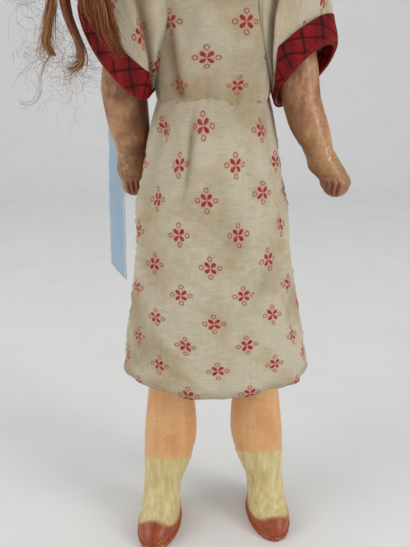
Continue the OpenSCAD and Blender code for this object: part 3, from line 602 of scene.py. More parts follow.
@dataclass(frozen=True)
class WornPaint(Finish):
    """Flesh oil paint on moulded composition, varnished and handled for years.

    The paint is thin and uneven, orange-brown where dirt has settled and paler where it is rubbed. It
    scratches and chips down to the pale filler, and a few fine cracks run through the worst patches.
    """

    name: str = "composition_arm"
    flesh: str = "#B98655"
    rubbed: str = "#DDBC98"
    # Also the colour of the arm's painted shade on the side that faces the dress
    dirt: str = "#66351A"
    blush: str = "#9C5829"
    ochre: str = "#C99A55"
    chip: str = "#D9BE8C"
    crack: str = "#54301A"
    groove: str = "#6E2010"
    cracking: float = 0.55
    gloss: float = 0.45
    # Sizes in millimetres
    streak_mm: float = 3.0
    stretch: float = 3.0
    blotch_mm: float = 13.0
    wrinkle_mm: float = 3.4
    chip_mm: float = 2.4

    def paint(self, put: Put, worn: Node | float) -> tuple[Node, Node]:
        """Colour and height of the worn flesh paint, cracked and chipped more where it is worn."""
        spot = self.places(put)
        long = self.places(put, (self.streak_mm, self.streak_mm, self.stretch * self.streak_mm))
        streak = put("TexNoise", long, 1, 5, 0.6)
        blotch = put("TexNoise", spot, 1 / self.blotch_mm, 6, 0.6)
        grain, pit = (put("TexNoise", spot, 1 / size, 3, 0.6)
                      for size in (self.chip_mm, 0.7 * self.chip_mm))
        both = put("Math.MULTIPLY_ADD", streak, 0.6, blotch)
        level = put("TexNoise", {"Vector": spot, "Scale": 1 / self.wrinkle_mm, "Detail": 2,
                                 "Distortion": 1.2})
        level = put("Math.ABSOLUTE", put("Math.SUBTRACT", level, 0.5))
        thin = put("MapRange", level, 0.01, 0.05, self.cracking, 0)
        thin = put("Math.MULTIPLY", thin, put("MapRange", blotch, 0.36, 0.46))
        cracked = put("Math.MULTIPLY", thin, worn)
        stained = put("MapRange", streak, 0.35, 0.65, 0.1, 0.6)
        stained = put("Math.MULTIPLY", stained, worn)
        flaking = put("Math.MULTIPLY_ADD", worn, 0.10, grain)
        chipped = put("MapRange", flaking, 0.70, 0.74, 0, 0.6)
        pitted = put("MapRange", pit, 0.33, 0.29, 0, 0.85)
        colour = self.coats(put, self.flesh, [
            (blotch, 0.42, 0.62, 0, 0.72, self.blush),
            (both, 0.74, 1, 0, 0.8, self.dirt),
            (streak, 0.45, 0.25, 0, 0.5, self.rubbed),
            (stained, self.ochre), (pitted, self.crack), (chipped, self.chip), (cracked, self.crack)])
        height = put("Math.MULTIPLY_ADD", cracked, -1, streak)
        for part, share in ((chipped, -0.8), (pitted, -0.7), (pit, 0.5)):
            height = put("Math.MULTIPLY_ADD", part, share, height)
        return colour, height

    def build(self, put: Put, shader: Node) -> None:
        """Adds painted shade on the side that faces the dress, the red finger grooves and the old gloss."""
        colour, height = self.paint(put, self.mark(put, "worn"))
        # Painted shade in the dirt's colour by the shade mark, then the red of the finger grooves
        colour = self.coats(put, colour, [(self.mark(put, "shade"), self.dirt),
                                          (self.mark(put, "groove"), self.groove)])
        bump = put("Bump", {"Strength": 0.5, "Distance": 0.4 * MM, "Height": height})
        rough = put("MapRange", height, 0.2, 0.8, 0.34, 0.55)
        feed(shader, {"Base Color": colour, "Normal": bump, "Roughness": rough, "Coat Weight": self.gloss,
                      "Coat Roughness": 0.28})


@dataclass(frozen=True)
class LegPaint(WornPaint):
    """The same old paint on a leg, with a moulded cream sock and a red-brown shoe.

    It is sounder and yellower than on the arms: soft pink and orange streaks, a few dark pinholes, brush
    marks in the sock's cream, and pale chips along the shoe's toe.
    """

    name: str = "composition_leg"
    flesh: str = "#D9A56C"
    rubbed: str = "#E0B690"
    dirt: str = "#CC8F55"
    blush: str = "#D3986C"
    cracking: float = 0.0
    streak_mm: float = 4.5
    stretch: float = 9.0
    blotch_mm: float = 16.0
    chip_mm: float = 1.7
    sock: str = "#CFBD84"
    sock_dark: str = "#B79C55"
    sock_pale: str = "#DCD2AE"
    shoe: str = "#9E440F"
    shoe_dark: str = "#7A2F0A"
    rim: str = "#D8B47E"

    def build(self, put: Put, shader: Node) -> None:
        """Lays the sock and the shoe over the flesh paint by the leg's own marks."""
        colour, height = self.paint(put, 0)
        spot = self.places(put)
        brush = put("TexNoise", self.places(put, (2.6, 2.6, 16)), 1, 3)
        grain = put("TexNoise", spot, 1 / 1.5, 4, 0.65)
        cloud = put("TexNoise", spot, 1 / 7, 4)
        sock = self.coats(put, self.sock, [
            (brush, 0.48, 0.72, 0, 0.7, self.sock_dark),
            (brush, 0.46, 0.28, 0, 0.8, self.sock_pale),
            (cloud, 0.52, 0.72, 0, 0.4, self.sock_dark),
            (grain, 0.71, 0.77, 0, 0.6, self.crack)])
        chipped = put("Math.MULTIPLY", put("MapRange", grain, 0.40, 0.36), self.mark(put, "scuff"))
        shoe = self.coats(put, self.shoe, [
            (cloud, 0.45, 0.75, 0, 0.8, self.shoe_dark),
            (chipped, self.chip)])
        masks = {name: self.mark(put, name) for name in ("sock", "shoe", "rim", "seam")}
        colour = self.coats(put, colour, [(masks["sock"], sock), (masks["shoe"], shoe),
                                          (masks["rim"], self.rim), (masks["seam"], self.crack)])
        height = put("Math.MULTIPLY_ADD", brush, 1.2, height)
        bump = put("Bump", {"Strength": 0.3, "Distance": 0.3 * MM, "Height": height})
        rough = put("MapRange", masks["shoe"], 0, 1, 0.46, 0.38)
        feed(shader, {"Base Color": colour, "Normal": bump, "Roughness": rough, "Coat Weight": 0.1,
                      "Coat Roughness": 0.25})


@dataclass(frozen=True)
class FacePaint(Finish):
    """Matt oil paint on pressed cardboard: flesh, blushed cheeks, lips, brows and lash strokes."""

    name: str = "painted_cardboard"
    flesh: str = "#D9AF8C"
    dirt: str = "#B98560"
    blush: str = "#C9705A"
    lip: str = "#A8382F"
    brow: str = "#5A3420"
    lash: str = "#3A2418"

    def build(self, put: Put, shader: Node) -> None:
        """Lays each painted feature over the flesh by its mark."""
        spot = self.places(put)
        blotch = put("TexNoise", spot, 1 / 9, 6)
        fibre = put("TexNoise", spot, 1 / 0.9, 4)
        edges = put("TexVoronoi", {"Vector": spot, "Scale": 1 / 5}, feature="DISTANCE_TO_EDGE")
        thin = put("MapRange", edges, 0.006, 0.025, 0.45, 0)
        cracked = put("Math.MULTIPLY", thin, put("MapRange", blotch, 0.55, 0.66))
        features = (("blush", self.blush), ("lip", self.lip), ("brow", self.brow), ("lash", self.lash))
        colour = self.coats(put, self.flesh, [
            (blotch, 0.45, 0.75, 0, 0.6, self.dirt),
            *((self.mark(put, name), paint) for name, paint in features), (cracked, self.brow)])
        height = put("Math.MULTIPLY_ADD", cracked, -2, fibre)
        bump = put("Bump", {"Strength": 0.3, "Distance": 0.2 * MM, "Height": height})
        feed(shader, {"Base Color": colour, "Normal": bump, "Roughness": 0.5, "Coat Weight": 0.12})


@dataclass(frozen=True)
class GrainFinish(Finish):
    """A plain material with a grain of one size: two colours mixed by stretched noise, and a bump of it.

    Cardboard is matt and fibrous, turned wood has long grain, braided elastic short ribs, drawn wire fine
    lines along it, and shell buttons a soft cloudy lustre.
    """

    light: str = "#C9A884"
    dark: str = "#A07C56"
    grain_mm: tuple[float, float, float] = (1.5, 1.5, 1.5)
    roughness: float = 0.8
    metallic: float = 0.0
    coat: float = 0.0
    relief_mm: float = 0.2

    def build(self, put: Put, shader: Node) -> None:
        """Mixes the two colours by the grain."""
        grain = put("TexNoise", self.places(put, self.grain_mm), 1, 5, 0.6)
        mask = put("MapRange", grain, 0.35, 0.68)
        bump = put("Bump", {"Strength": 0.4, "Distance": self.relief_mm * MM, "Height": grain})
        feed(shader, {"Base Color": self.coats(put, self.light, [(mask, self.dark)]), "Normal": bump,
                      "Roughness": self.roughness, "Metallic": self.metallic, "Coat Weight": self.coat})


@dataclass(frozen=True)
class Hair(Finish):
    """Auburn mohair: dark at the root, ginger along the strand and golden where the tips thin out."""

    name: str = "hair"
    root: str = "#57260F"
    strand: str = "#8F4A1E"
    tip: str = "#C08A48"
    dark: str = "#3A170C"
    gold: str = "#B98A4C"

    def build(self, put: Put, shader: Node) -> None:
        """Runs the colour along each strand and shifts it from strand to strand."""
        along, tone = self.mark(put, "along"), self.mark(put, "tone")
        colour = self.coats(put, self.root, [
            (along, 0, 0.5, self.strand),
            (along, 0.62, 1, 0, 0.8, self.tip),
            (tone, 0.45, 0, 0, 0.9, self.dark),
            (tone, 0.68, 1, 0, 0.75, self.gold)])
        feed(shader, {"Base Color": colour, "Roughness": 0.42, "Specular IOR Level": 0.45,
                      "Sheen Weight": 0.1})


@dataclass(frozen=True)
class Satin(Finish):
    """Pale blue silk ribbon: smooth face, fine ribs across it and a firm woven edge."""

    name: str = "satin"
    blue: str = "#9DB3C4"
    shade: str = "#859DB0"
    edge: str = "#CBD8E1"
    half_w_mm: float = 7.5
    # Ribs of the weft, drawn about three times their real spacing so that they show
    rib_mm: float = 0.7

    def build(self, put: Put, shader: Node) -> None:
        """Draws ribs, soft creases and the pale edges on the ribbon's own map."""
        cloth = put("UVMap", uv_map="weave")
        parts = put("SeparateXYZ", cloth)
        cloud = put("TexNoise", cloth, 1 / 28, 2)
        out = put("Math.ABSOLUTE", parts.outputs[0])
        rib = put("Math.SINE", put("Math.MULTIPLY", parts.outputs[1], TAU / self.rib_mm))
        colour = self.coats(put, self.blue, [
            (cloud, 0.35, 0.75, 0, 0.6, self.shade),
            (out, self.half_w_mm - 1.3, self.half_w_mm - 0.9, 0, 0.8, self.edge)])
        height = put("Math.MULTIPLY_ADD", cloud, 3, rib)
        bump = put("Bump", {"Strength": 0.25, "Distance": 0.12 * MM, "Height": height})
        feed(shader, {"Base Color": colour, "Normal": bump, "Roughness": 0.4, "Sheen Weight": 0.35,
                      "Sheen Roughness": 0.35, "Anisotropic": 0.4})


@dataclass(frozen=True)
class EyeGlass(Finish):
    """Blown glass eye: brown iris with fine rays round a black pupil, cream white, under clear gloss."""

    name: str = "eye_glass"
    white: str = "#E6DFD0"
    iris: str = "#6A4526"
    ray: str = "#9A6C3A"
    rim: str = "#2A1A10"
    pupil: str = "#0B0908"

    def build(self, put: Put, shader: Node) -> None:
        """Rings by the angle from the front, in degrees, which is the eye map's second coordinate."""
        parts = put("SeparateXYZ", put("UVMap", uv_map="eye"))
        rays = put("Math.SINE", put("Math.MULTIPLY", parts.outputs[0], 46))
        steps = ((11, 12.5, self.pupil, 0), (24, 27, self.rim, 1), (28, 30.5, self.white, 1))
        colour = self.coats(put, self.iris, [
            (rays, -1, 1, 0, 0.7, self.ray),
            *((parts.outputs[1], start, end, 1 - beyond, beyond, paint)
              for start, end, paint, beyond in steps)])
        feed(shader, {"Base Color": colour, "Roughness": 0.12, "Coat Weight": 1, "Coat Roughness": 0.03})


CARDBOARD = GrainFinish("cardboard", "#BE9D74", "#94714A", (1.2, 1.2, 1.8), 0.86)
TURNED_WOOD = GrainFinish("turned_wood", "#BE935E", "#8E6436", (0.8, 0.8, 9), 0.55)
STEEL_WIRE = GrainFinish("wire", "#A7A9AA", "#7B7C7E", (0.3, 0.3, 4), 0.38, 1, 0, 0.05)
ELASTIC = GrainFinish("elastic", "#DDD6C6", "#B0A68F", (0.6, 2, 2), 0.8, 0, 0, 0.3)
SHELL_BUTTON = GrainFinish("button", "#E7DFCB", "#CFC3A6", (2.2, 2.2, 2.2), 0.25, 0, 0.4, 0.05)
STUDIO_PAPER = GrainFinish("studio_paper", "#EBEBE9", "#E7E7E6", (60, 60, 60), 0.95, 0, 0, 0.02)


# The figure


@dataclass(frozen=True)
class Figure:
    """Heights shared by the sub-assemblies, in millimetres, read from the frame's joints and nodes."""

    hip_z: float
    waist_z: float
    shoulder_z: float
    neck_z: float
    hem_z: float
    chin_rise: float = 10.0
    head_h: float = 85.0
    shoulder_x: float = 27.0

    @classmethod
    def of_frame(cls, frame: dict[str, Any]) -> "Figure":
        """Reads the joints' heights and the dress's edges."""
        height = {joint["name"]: joint["pos_m"][2] / MM for joint in frame["joints"]}
        low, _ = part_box("dress_skirt")
        waist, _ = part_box("dress_bodice")
        return cls(height["sit"], waist[2] / MM, height["left_shoulder"], height["head_turn"], low[2] / MM)

    @property
    def chin_z(self) -> float:
        """Underside of the chin."""
        return self.neck_z + self.chin_rise


def disc_ring(rise: Array, face_x: float, radius: float, thick: float) -> tuple[Array, Array, Array]:
    """Section of a round-edged joint disc that turns about the x axis.

    Its inner side is flat, and its outer side is an ellipse that starts at 0.45 of the thickness.

    Args:
        rise: Height above the axis.
        face_x: Place of the flat side.
        radius: Radius of the disc.
        thick: Thickness along the axis.

    Returns:
        Middle x, half width and half depth at that height.
    """
    share = np.sqrt(np.clip(1 - (rise / radius) ** 2, 0, 1))
    outer = thick * (0.45 + 0.55 * share)
    return face_x + outer / 2, outer / 2, radius * share


def limb_ovals(stations: list[list[float]], z: Array, disc: Sequence[Array], joint_z: float,
               soft: float) -> list[Array]:
    """Level ovals of a limb, which turn into sections of its joint disc about the axis.

    Args:
        stations: Height, middle x and y, half width and half depth, upwards.
        z: Heights of the ovals.
        disc: Middle x, half width and half depth of the disc at those heights.
        joint_z: Height of the axis.
        soft: How far below and above the axis the change takes place.

    Returns:
        Middle x, half width, half depth and middle y.
    """
    station = through(stations, np.clip(z, stations[0][0], joint_z))
    over = ease((z - joint_z + soft) / (2 * soft))
    own = (station[..., i] for i in (1, 3, 4))
    return [limb + (ring - limb) * over for limb, ring in zip(own, disc)] + [station[..., 2]]


@dataclass
class Arm:
    """One arm: a flat-sided shoulder, a plain tapering limb and a small fist."""

    figure: Figure
    side: Side
    drop: float
    # Share of the drop from the shoulder, then how far the middle lies outwards and back, and the radius
    limb: tuple[tuple[float, float, float, float], ...]
    # How strongly the side that faces the dress is darkened as painted shade
    side_shade: float
    first_finger: float
    face_x: float = 27.3
    disc_r: float = 11.3
    thick: float = 24.0
    hand_l: float = 25.0
    # How far below the shoulder's axis the inner side stays flat
    flat: float = 24.0
    finger_step: float = 27.0
    rows: int = 230
    cols: int = 180
    # How far up the drop each ring of the fist lies, and its half width and depth as shares of the wrist's
    fist: tuple[tuple[float, float, float], ...] = ((0, 0.60, 0.64), (0.04, 0.74, 0.78), (0.08, 0.82, 0.92))

    def stations(self) -> list[list[float]]:
        """Height, middle x and y, and the radius across and deep, up from the hand."""
        z, x = self.figure.shoulder_z, self.face_x + self.thick / 2
        _, out, back, wrist = self.limb[-1]
        shares = [(1 - up, out, back, wide * wrist, deep * wrist) for up, wide, deep in self.fist]
        shares += [(*row, row[-1]) for row in self.limb[-2::-1]]
        return [[z - self.drop * share, x + aside, *rest] for share, aside, *rest in shares]

    def build(self, finish: WornPaint) -> Object:
        """Makes the arm.

        Level ovals follow the stations. Above the shoulder axis they are sections of the joint disc, and at
        the hand's end they close like a ball. Finger grooves, a thumb and the wrist's crease are bells of
        angle and height added to the radius.

        Args:
            finish: The arm's paint.

        Returns:
            The arm, riding on its body.
        """
        figure, side = self.figure, self.side
        low, top = figure.shoulder_z - self.drop, figure.shoulder_z + self.disc_r
        rise = (top - low) * (1 - np.cos(np.linspace(0, math.pi, self.rows)))[:, None] / 2
        z = low + rise
        angle = circle(self.cols, 360)
        turn = np.radians(angle)
        disc = disc_ring(z - figure.shoulder_z, self.face_x, self.disc_r, self.thick)
        x, wide, deep, y = limb_ovals(self.stations(), z, disc, figure.shoulder_z, 2)
        closing = np.sqrt(1 - np.clip(1 - rise / 4, 0, 1) ** 2)
        bump, groove = self._hand(angle, rise)
        swell = 0.25 * wander(stack(z * 0.35, z * 0), 14, 3 + side.value)
        px = x + (wide + bump + swell) * closing * np.cos(turn)
        py = y + (deep + bump) * closing * np.sin(turn)
        px = np.where(z > figure.shoulder_z - self.flat, np.maximum(px, self.face_x), px)
        points = stack(px * side.value, py, z)
        # Painted shade on the side that faces the dress, uneven in patches, and some dirt over the whole fist
        patches = 0.85 + 0.2 * wander(points, 19, 9)
        spread = 10 + 60 * self.side_shade
        shade = self.side_shade * toward(angle, 192, spread) * patches * (0.35 + 0.65 * ease((rise - 4) / 24))
        shade = shade + 0.26 * ease((self.hand_l - rise) / 12)
        worn = bell(rise - 19, 8) * (0.35 + 0.65 * toward(angle, 290, 60)) + 0.3 * ease((52 - rise) / 30)
        piece = Piece(side.named("arm_skin"))
        piece.grid(points, wrap=True, fans=(True, True),
                   marks={"groove": groove, "shade": np.clip(shade, 0, 0.85), "worn": worn})
        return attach(piece.finish(finish, side.named("arm")), side.named("arm"))

    def _hand(self, angle: Array, rise: Array) -> tuple[Array, Array]:
        """Relief of the fist and the depth of its painted grooves, by angle and height above its end;
        the grooves' red-brown also lies round the fist's end as painted shade.
        """
        fingers = ease((11.5 - rise) / 4)
        middle = self.first_finger + self.finger_step
        lines = sum(toward(angle, middle + way * self.finger_step + 0.8 * (rise - 6), 5.6)
                    for way in (-1, 0, 1))
        knuckle = bell(rise - 12, 0.7) * toward(angle, middle, 34)
        front = toward(angle, middle, 48)
        bump = -1.15 * lines * fingers + 0.55 * fingers * front - 0.45 * knuckle
        thumb_gap = turn_gap(angle, middle - 72 + 1.3 * (rise - 10))
        thumb = ease((rise - 3) / 3.5) * ease((21 - rise) / 8)
        bump += thumb * (1.7 * bell(thumb_gap, 13) - 0.7 * bell(thumb_gap - 25, 5))
        bump += 0.9 * toward(angle, 20, 40) * bell(rise - 15, 6)
        bump -= 0.35 * bell(rise - self.hand_l, 1)
        groove = 0.95 * lines * fingers + 0.5 * knuckle + 0.5 * thumb * bell(thumb_gap - 25, 4)
        # Painted shade round the fist's end, in the grooves' red-brown
        groove = np.clip(groove + 0.4 * bell(rise - 3, 4) * toward(angle, middle, 45), 0, 0.92)
        return bump, groove


@dataclass
class Leg:
    """One leg: a flat-sided hip, a soft calf, a moulded sock and a moulded slipper."""

    figure: Figure
    side: Side
    step: float
    shoe_front_z: float
    seam: float
    face_x: float = 12.3
    thigh_t: float = 23.0
    disc_r: float = 19.0
    knee_r: float = 12.6
    knee_z: float = 98.0
    calf_r: float = 15.6
    calf_z: float = 60.0
    ankle_r: float = 11.0
    ankle_z: float = 27.0
    shoe_l: float = 48.0
    shoe_w: float = 23.5
    shoe_side_z: float = 7.5
    heel_z: float = 13.0
    sole_t: float = 2.6
    splay: float = 7.5
    sway: float = 1.5
    toe_out: float = 9.0
    sock_z: float = 43.8
    sock_rise: float = 7.0
    # Height up to which the rings lie close, and how far below the hip's axis the inner side stays flat
    foot_z: float = 24.0
    flat: float = 30.0
    rows: int = 250
    cols: int = 190

    def stations(self) -> list[list[float]]:
        """Height, middle x, middle y along the foot, half width and half depth, up from the sole."""
        thigh_x = self.face_x + self.thigh_t / 2
        ankle_x = thigh_x + self.splay
        foot_y = -(0.5 - 0.36) * self.shoe_l
        hip_z, shin_z = self.figure.hip_z, (self.ankle_z + self.calf_z) / 2
        shin_r = self.ankle_r + 0.66 * (self.calf_r - self.ankle_r)
        return [
            [self.sole_t * 0.5, ankle_x + 1, foot_y, self.shoe_w / 2 - 0.8, self.shoe_l / 2 - 0.8],
            [9, ankle_x + 1, foot_y, self.shoe_w / 2 - 0.9, self.shoe_l / 2 - 2],
            [self.ankle_z * 0.68, ankle_x + 0.3, -3.5, self.ankle_r, 15],
            [self.ankle_z, ankle_x, -0.5, self.ankle_r, self.ankle_r + 0.8],
            [shin_z, ankle_x - 0.42 * self.splay, 1, shin_r, shin_r + 0.2],
            [self.calf_z, ankle_x - 0.70 * self.splay, 1.6, self.calf_r, self.calf_r + 0.4],
            [self.knee_z, ankle_x - 0.86 * self.splay, 0, self.knee_r, self.knee_r + 0.4],
            [(self.knee_z + hip_z) / 2, thigh_x + 0.4, 0, self.thigh_t / 2 + 0.2, self.disc_r * 0.88],
            [hip_z, thigh_x, 0, self.thigh_t / 2 - 0.2, self.disc_r - 0.3]]

    def build(self, finish: LegPaint) -> Object:
        """Makes the leg.

        Level ovals follow the stations and turn outwards towards the toes. A welt, the shoe's top edge, the
        sock's top and the toe's seam are bells of height and angle added to the radius.

        Args:
            finish: The leg's paint.

        Returns:
            The leg, riding on its body.
        """
        figure, side = self.figure, self.side
        top = figure.hip_z + self.disc_r
        foot = np.linspace(0, self.foot_z, self.rows // 3, endpoint=False)
        bend = np.linspace(0, math.pi / 2, self.rows - len(foot))
        shaft = self.foot_z + (top - self.foot_z) * np.sin(bend)
        z = np.concatenate([foot, shaft])[:, None]
        angle = circle(self.cols, 360)
        turn = np.radians(angle)
        disc = disc_ring(z - figure.hip_z, self.face_x, self.disc_r, self.thigh_t)
        x, wide, deep, y = limb_ovals(self.stations(), z, disc, figure.hip_z, 3)
        bump, marks = self._relief(angle, z)
        round_toe = 1 - 0.05 * ease((3.2 - z) / 3.2)
        px = (wide * round_toe + bump) * np.cos(turn)
        py = y + (deep * round_toe + bump) * np.sin(turn)
        yaw = np.radians(self.toe_out * (1 - ease((z - self.ankle_z) / (self.knee_z - self.ankle_z))))
        low = np.clip(1 - z / figure.hip_z, 0, 1)
        qx = x + px * np.cos(yaw) - py * np.sin(yaw)
        qy = px * np.sin(yaw) + py * np.cos(yaw) - self.step * low
        qx = np.where(z > figure.hip_z - self.flat, np.maximum(qx, self.face_x), qx)
        points = stack(qx * side.value + self.sway * low, qy, z)
        piece = Piece(side.named("leg_skin"))
        piece.grid(points, wrap=True, fans=(True, True), marks=marks)
        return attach(piece.finish(finish, side.named("leg")), side.named("leg"))

    def _relief(self, angle: Array, z: Array) -> tuple[Array, dict[str, Array]]:
        """Relief and paint marks of the sock and shoe by angle and height; the front is at 270 degrees."""
        front = np.cos(np.radians(angle - 270))
        shoe_top = (self.shoe_side_z + (self.shoe_front_z - self.shoe_side_z) * np.maximum(front, 0) ** 2
                    + (self.heel_z - self.shoe_side_z) * np.maximum(-front, 0) ** 2)
        sock_top = self.sock_z + self.sock_rise * np.maximum(front, 0) + 0.6 * np.cos(np.radians(angle - 200))
        shoe = ease((shoe_top - z) / 0.5 + 0.5)
        sock = ease((sock_top - z) / 0.5 + 0.5)
        bump = 0.7 * shoe + 0.35 * bell(z - shoe_top + 0.8, 0.7)
        bump += 0.3 * sock + 0.2 * bell(z - sock_top + 0.8, 0.8)
        bump += ease((self.sole_t - z) / 0.4 + 0.5) - 0.35 * bell(z - self.sole_t - 0.6, 0.4)
        seam = self.seam * toward(angle, 266, 1.1) * ease((z - 3) / 2) * shoe
        bump -= 0.3 * seam
        marks = {"shoe": shoe, "sock": sock, "rim": 0.35 * bell(z - shoe_top, 0.4), "seam": 0.7 * seam,
                 "scuff": ease((8 - z) / 5) * ease(front * 1.4 - 0.3)}
        return bump, marks


@dataclass
class Head:
    """The pressed-cardboard head with its painted face, and the glass eyes."""

    figure: Figure
    half_w: float = 34.0
    face_d: float = 34.0
    nape_d: float = 37.0
    neck_ball_r: float = 13.0
    crown_share: float = 0.76
    nose_rise: float = 21.5
    mouth_rise: float = 11.5
    eye_gap: float = 13.0
    eye_rise: float = 38.0
    eye_r: float = 6.2
    rows: int = 250
    cols: int = 280
    # Share of the height above the chin, then half width, front depth and back depth as shares
    profile: tuple[tuple[float, ...], ...] = (
        (0, 0.42, 0.52, 0.3), (0.07, 0.62, 0.8, 0.46), (0.16, 0.83, 0.92, 0.68), (0.28, 0.95, 0.98, 0.86),
        (0.42, 1, 1, 0.97), (0.58, 1, 1, 1), (0.72, 0.94, 0.93, 0.96), (0.84, 0.79, 0.77, 0.82),
        (0.93, 0.55, 0.54, 0.58), (0.985, 0.26, 0.26, 0.27), (1, 0.05, 0.05, 0.05))

    @property
    def eye_y(self) -> float:
        """Middle of an eye, behind the face."""
        return -(self.face_d - 3.2 - 0.62 * self.eye_r) * math.sqrt(1 - (self.eye_gap / self.half_w) ** 2)

    def skull(self, turn: Array, rise: Array, grow: Array | float = 0) -> Array:
        """Plain head surface at an angle and a height above the chin, grown by a margin.

        Args:
            turn: Angle round the head in radians, with the face at three quarters of a turn.
            rise: Height above the chin.
            grow: Margin outwards.

        Returns:
            Points of the surface.
        """
        turn, rise = np.broadcast_arrays(turn, rise)
        size = through(self.profile, rise / self.figure.head_h)
        depth = np.where(np.sin(turn) < 0, self.face_d * size[..., 2], self.nape_d * size[..., 3])
        wide = self.half_w * size[..., 1]
        return stack((wide + grow) * np.cos(turn), (depth + grow) * np.sin(turn), self.figure.chin_z + rise)

    def build(self, paint: FacePaint, glass: EyeGlass) -> list[Object]:
        """Makes the head shell and both eyes."""
        return [self._shell(paint), *(self._eye(side, glass) for side in Side)]

    def _shell(self, paint: FacePaint) -> Object:
        """Outer skin from the neck ball up to the crown's rim, and the inner wall back down."""
        crown = self.figure.head_h * self.crown_share
        turn = circle(self.cols) + TAU / 4
        rise = np.linspace(0, crown, self.rows)[:, None]
        face = self.skull(turn, rise)
        forward, marks = self._features(face[..., 0], rise + 0 * turn, face[..., 1])
        front = ease(-np.sin(turn) * 1.6)
        face[..., 1] = np.where(front > 0, face[..., 1] - forward * front, face[..., 1])
        face, marks = self._lids(face, rise + 0 * turn, marks)
        ball_z = self.figure.neck_z + 1
        lift = np.linspace(-0.88, 0.35, 24)
        ball = stack(np.sqrt(1 - lift**2) * self.neck_ball_r, ball_z + lift * self.neck_ball_r)
        throat = np.array([[self.neck_ball_r - 1.3, self.figure.chin_z - 3.8],
                           [self.neck_ball_r - 1, self.figure.chin_z - 1.8]])
        profile = np.concatenate([ball, throat])
        neck = stack(profile[:, :1] * np.cos(turn), profile[:, :1] * np.sin(turn), profile[:, 1:])
        inner = face[::-6] * np.array([0.86, 0.72, 1])
        points = np.concatenate([neck, face, inner])
        marks = {name: np.concatenate([np.zeros(neck.shape[:2]), value, np.zeros(inner.shape[:2])])
                 for name, value in marks.items()}
        piece = Piece("painted_head")
        piece.grid(points, wrap=True, fans=(True, False), marks=marks)
        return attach(piece.finish(paint, "head_shell"), "head")

    def _features(self, x: Array, rise: Array, y: Array) -> tuple[Array, dict[str, Array]]:
        """How far the face stands forward, as bells over width and height, and where it is painted."""
        ax = np.abs(x)
        nose, mouth = self.nose_rise, self.mouth_rise
        out = 5.6 * bell(x, 2.7) * bell(rise - nose, 3.2) + 2.4 * bell(x, 2.6) * bell(rise - nose - 8, 6)
        out += 1.5 * bell(ax - 3.4, 1.5) * bell(rise - nose + 0.8, 1.7)
        out -= bell(ax - 2, 0.7) * bell(rise - nose + 2.6, 0.6)
        out += 2.2 * bell(ax - 17, 8) * bell(rise - nose + 3, 8)
        out += 1.5 * bell(x, 6.5) * bell(rise - mouth, 3.6) + 2.4 * bell(x, 8) * bell(rise - 3, 4)
        bow = mouth + 2.2 - 0.9 * bell(x, 1) + 0.5 * bell(ax - 2, 1.2) - 0.035 * x**2
        parting = mouth + 0.25 * bell(x, 1.5) - 0.012 * x**2
        under = mouth - 2.5 + 0.05 * x**2
        wide = ease((6.6 - ax) / 1.2)
        upper = ease((bow - rise) / 0.7 + 0.5) * ease((rise - parting) / 0.7 + 0.5) * wide
        lower = ease((parting - rise) / 0.7 + 0.5) * ease((rise - under) / 0.7 + 0.5) * wide
        out += 0.8 * upper + 1.1 * lower - bell(rise - parting, 0.35) * wide
        out -= 0.8 * bell(x, 1) * bell(rise - mouth - 4.6, 1.8)
        out -= 3.2 * bell(ax - self.eye_gap, 6) * bell(rise - self.eye_rise, 4.5)
        facing = y < 0
        brow_mid = self.eye_rise + 11 - 0.045 * (ax - self.eye_gap) ** 2
        hairs = 0.75 + 0.25 * np.sin(ax * 5.2 + rise * 2.4)
        brow = bell(rise - brow_mid, 0.55) * ease((ax - 5) / 3) * ease((23.5 - ax) / 5) * hairs
        blush = 0.62 * bell(np.hypot(ax - 18.5, 1.15 * (rise - 21)), 5.6)
        marks = {"lip": 0.9 * np.maximum(upper, lower) * facing, "brow": 0.85 * brow * facing,
                 "blush": blush * facing}
        return out, marks

    def _lids(self, face: Array, rise: Array, marks: dict[str, Array]) -> tuple[Array, dict[str, Array]]:
        """Lays lids over the eyeballs and opens an almond between them; lash strokes stand round it."""
        u = np.abs(face[..., 0]) - self.eye_gap
        v = rise - self.eye_rise
        lid_r = self.eye_r + 0.75
        ball = self.eye_y - np.sqrt(np.clip(lid_r**2 - u**2 - v**2, 0, None))
        near = (u**2 + v**2 < lid_r**2) & (face[..., 1] < 0)
        span = np.clip(1 - (u / 5.7) ** 2, 0, 1)
        top, bottom = 2.9 * span**0.75 + 0.1 * u, -2.5 * span**0.85 + 0.1 * u
        opened = ease((top - v) / 0.25 + 0.5) * ease((v - bottom) / 0.25 + 0.5) * (span > 0) * near
        y = np.where(near, np.minimum(face[..., 1], ball), face[..., 1])
        y = np.where(near, y + opened * (self.eye_y - 2.2 - y), y)
        crease = 0.5 * bell(v - top - 2.4, 0.5) * ease((6.5 - np.abs(u)) / 2) * (face[..., 1] < 0)
        face = stack(face[..., 0], y + crease, face[..., 2])
        shown = (face[..., 1] < 0) & (np.abs(u) < 8.5)
        upper = bell(v - top - 0.35, 0.42) * ease((6.4 - np.abs(u)) / 0.8)
        around = np.degrees(np.arctan2(v - 0.2, u * 0.9))
        far = np.hypot(u * 0.9, v)
        above = ease((far - 3.2) / 0.6) * ease((8.2 - far) / 0.8) * ease((v - 1.2) / 0.8)
        below = ease((far - 3.2) / 0.6) * ease((6.3 - far) / 0.7) * ease((-v - 1.2) / 0.8)
        strokes = np.clip(np.cos(np.radians(around * 24)) * 2 - 0.7, 0, 1) * np.maximum(above, below)
        marks["lash"] = np.clip(np.maximum(0.95 * upper, 0.75 * strokes), 0, 1) * shown
        return face, marks

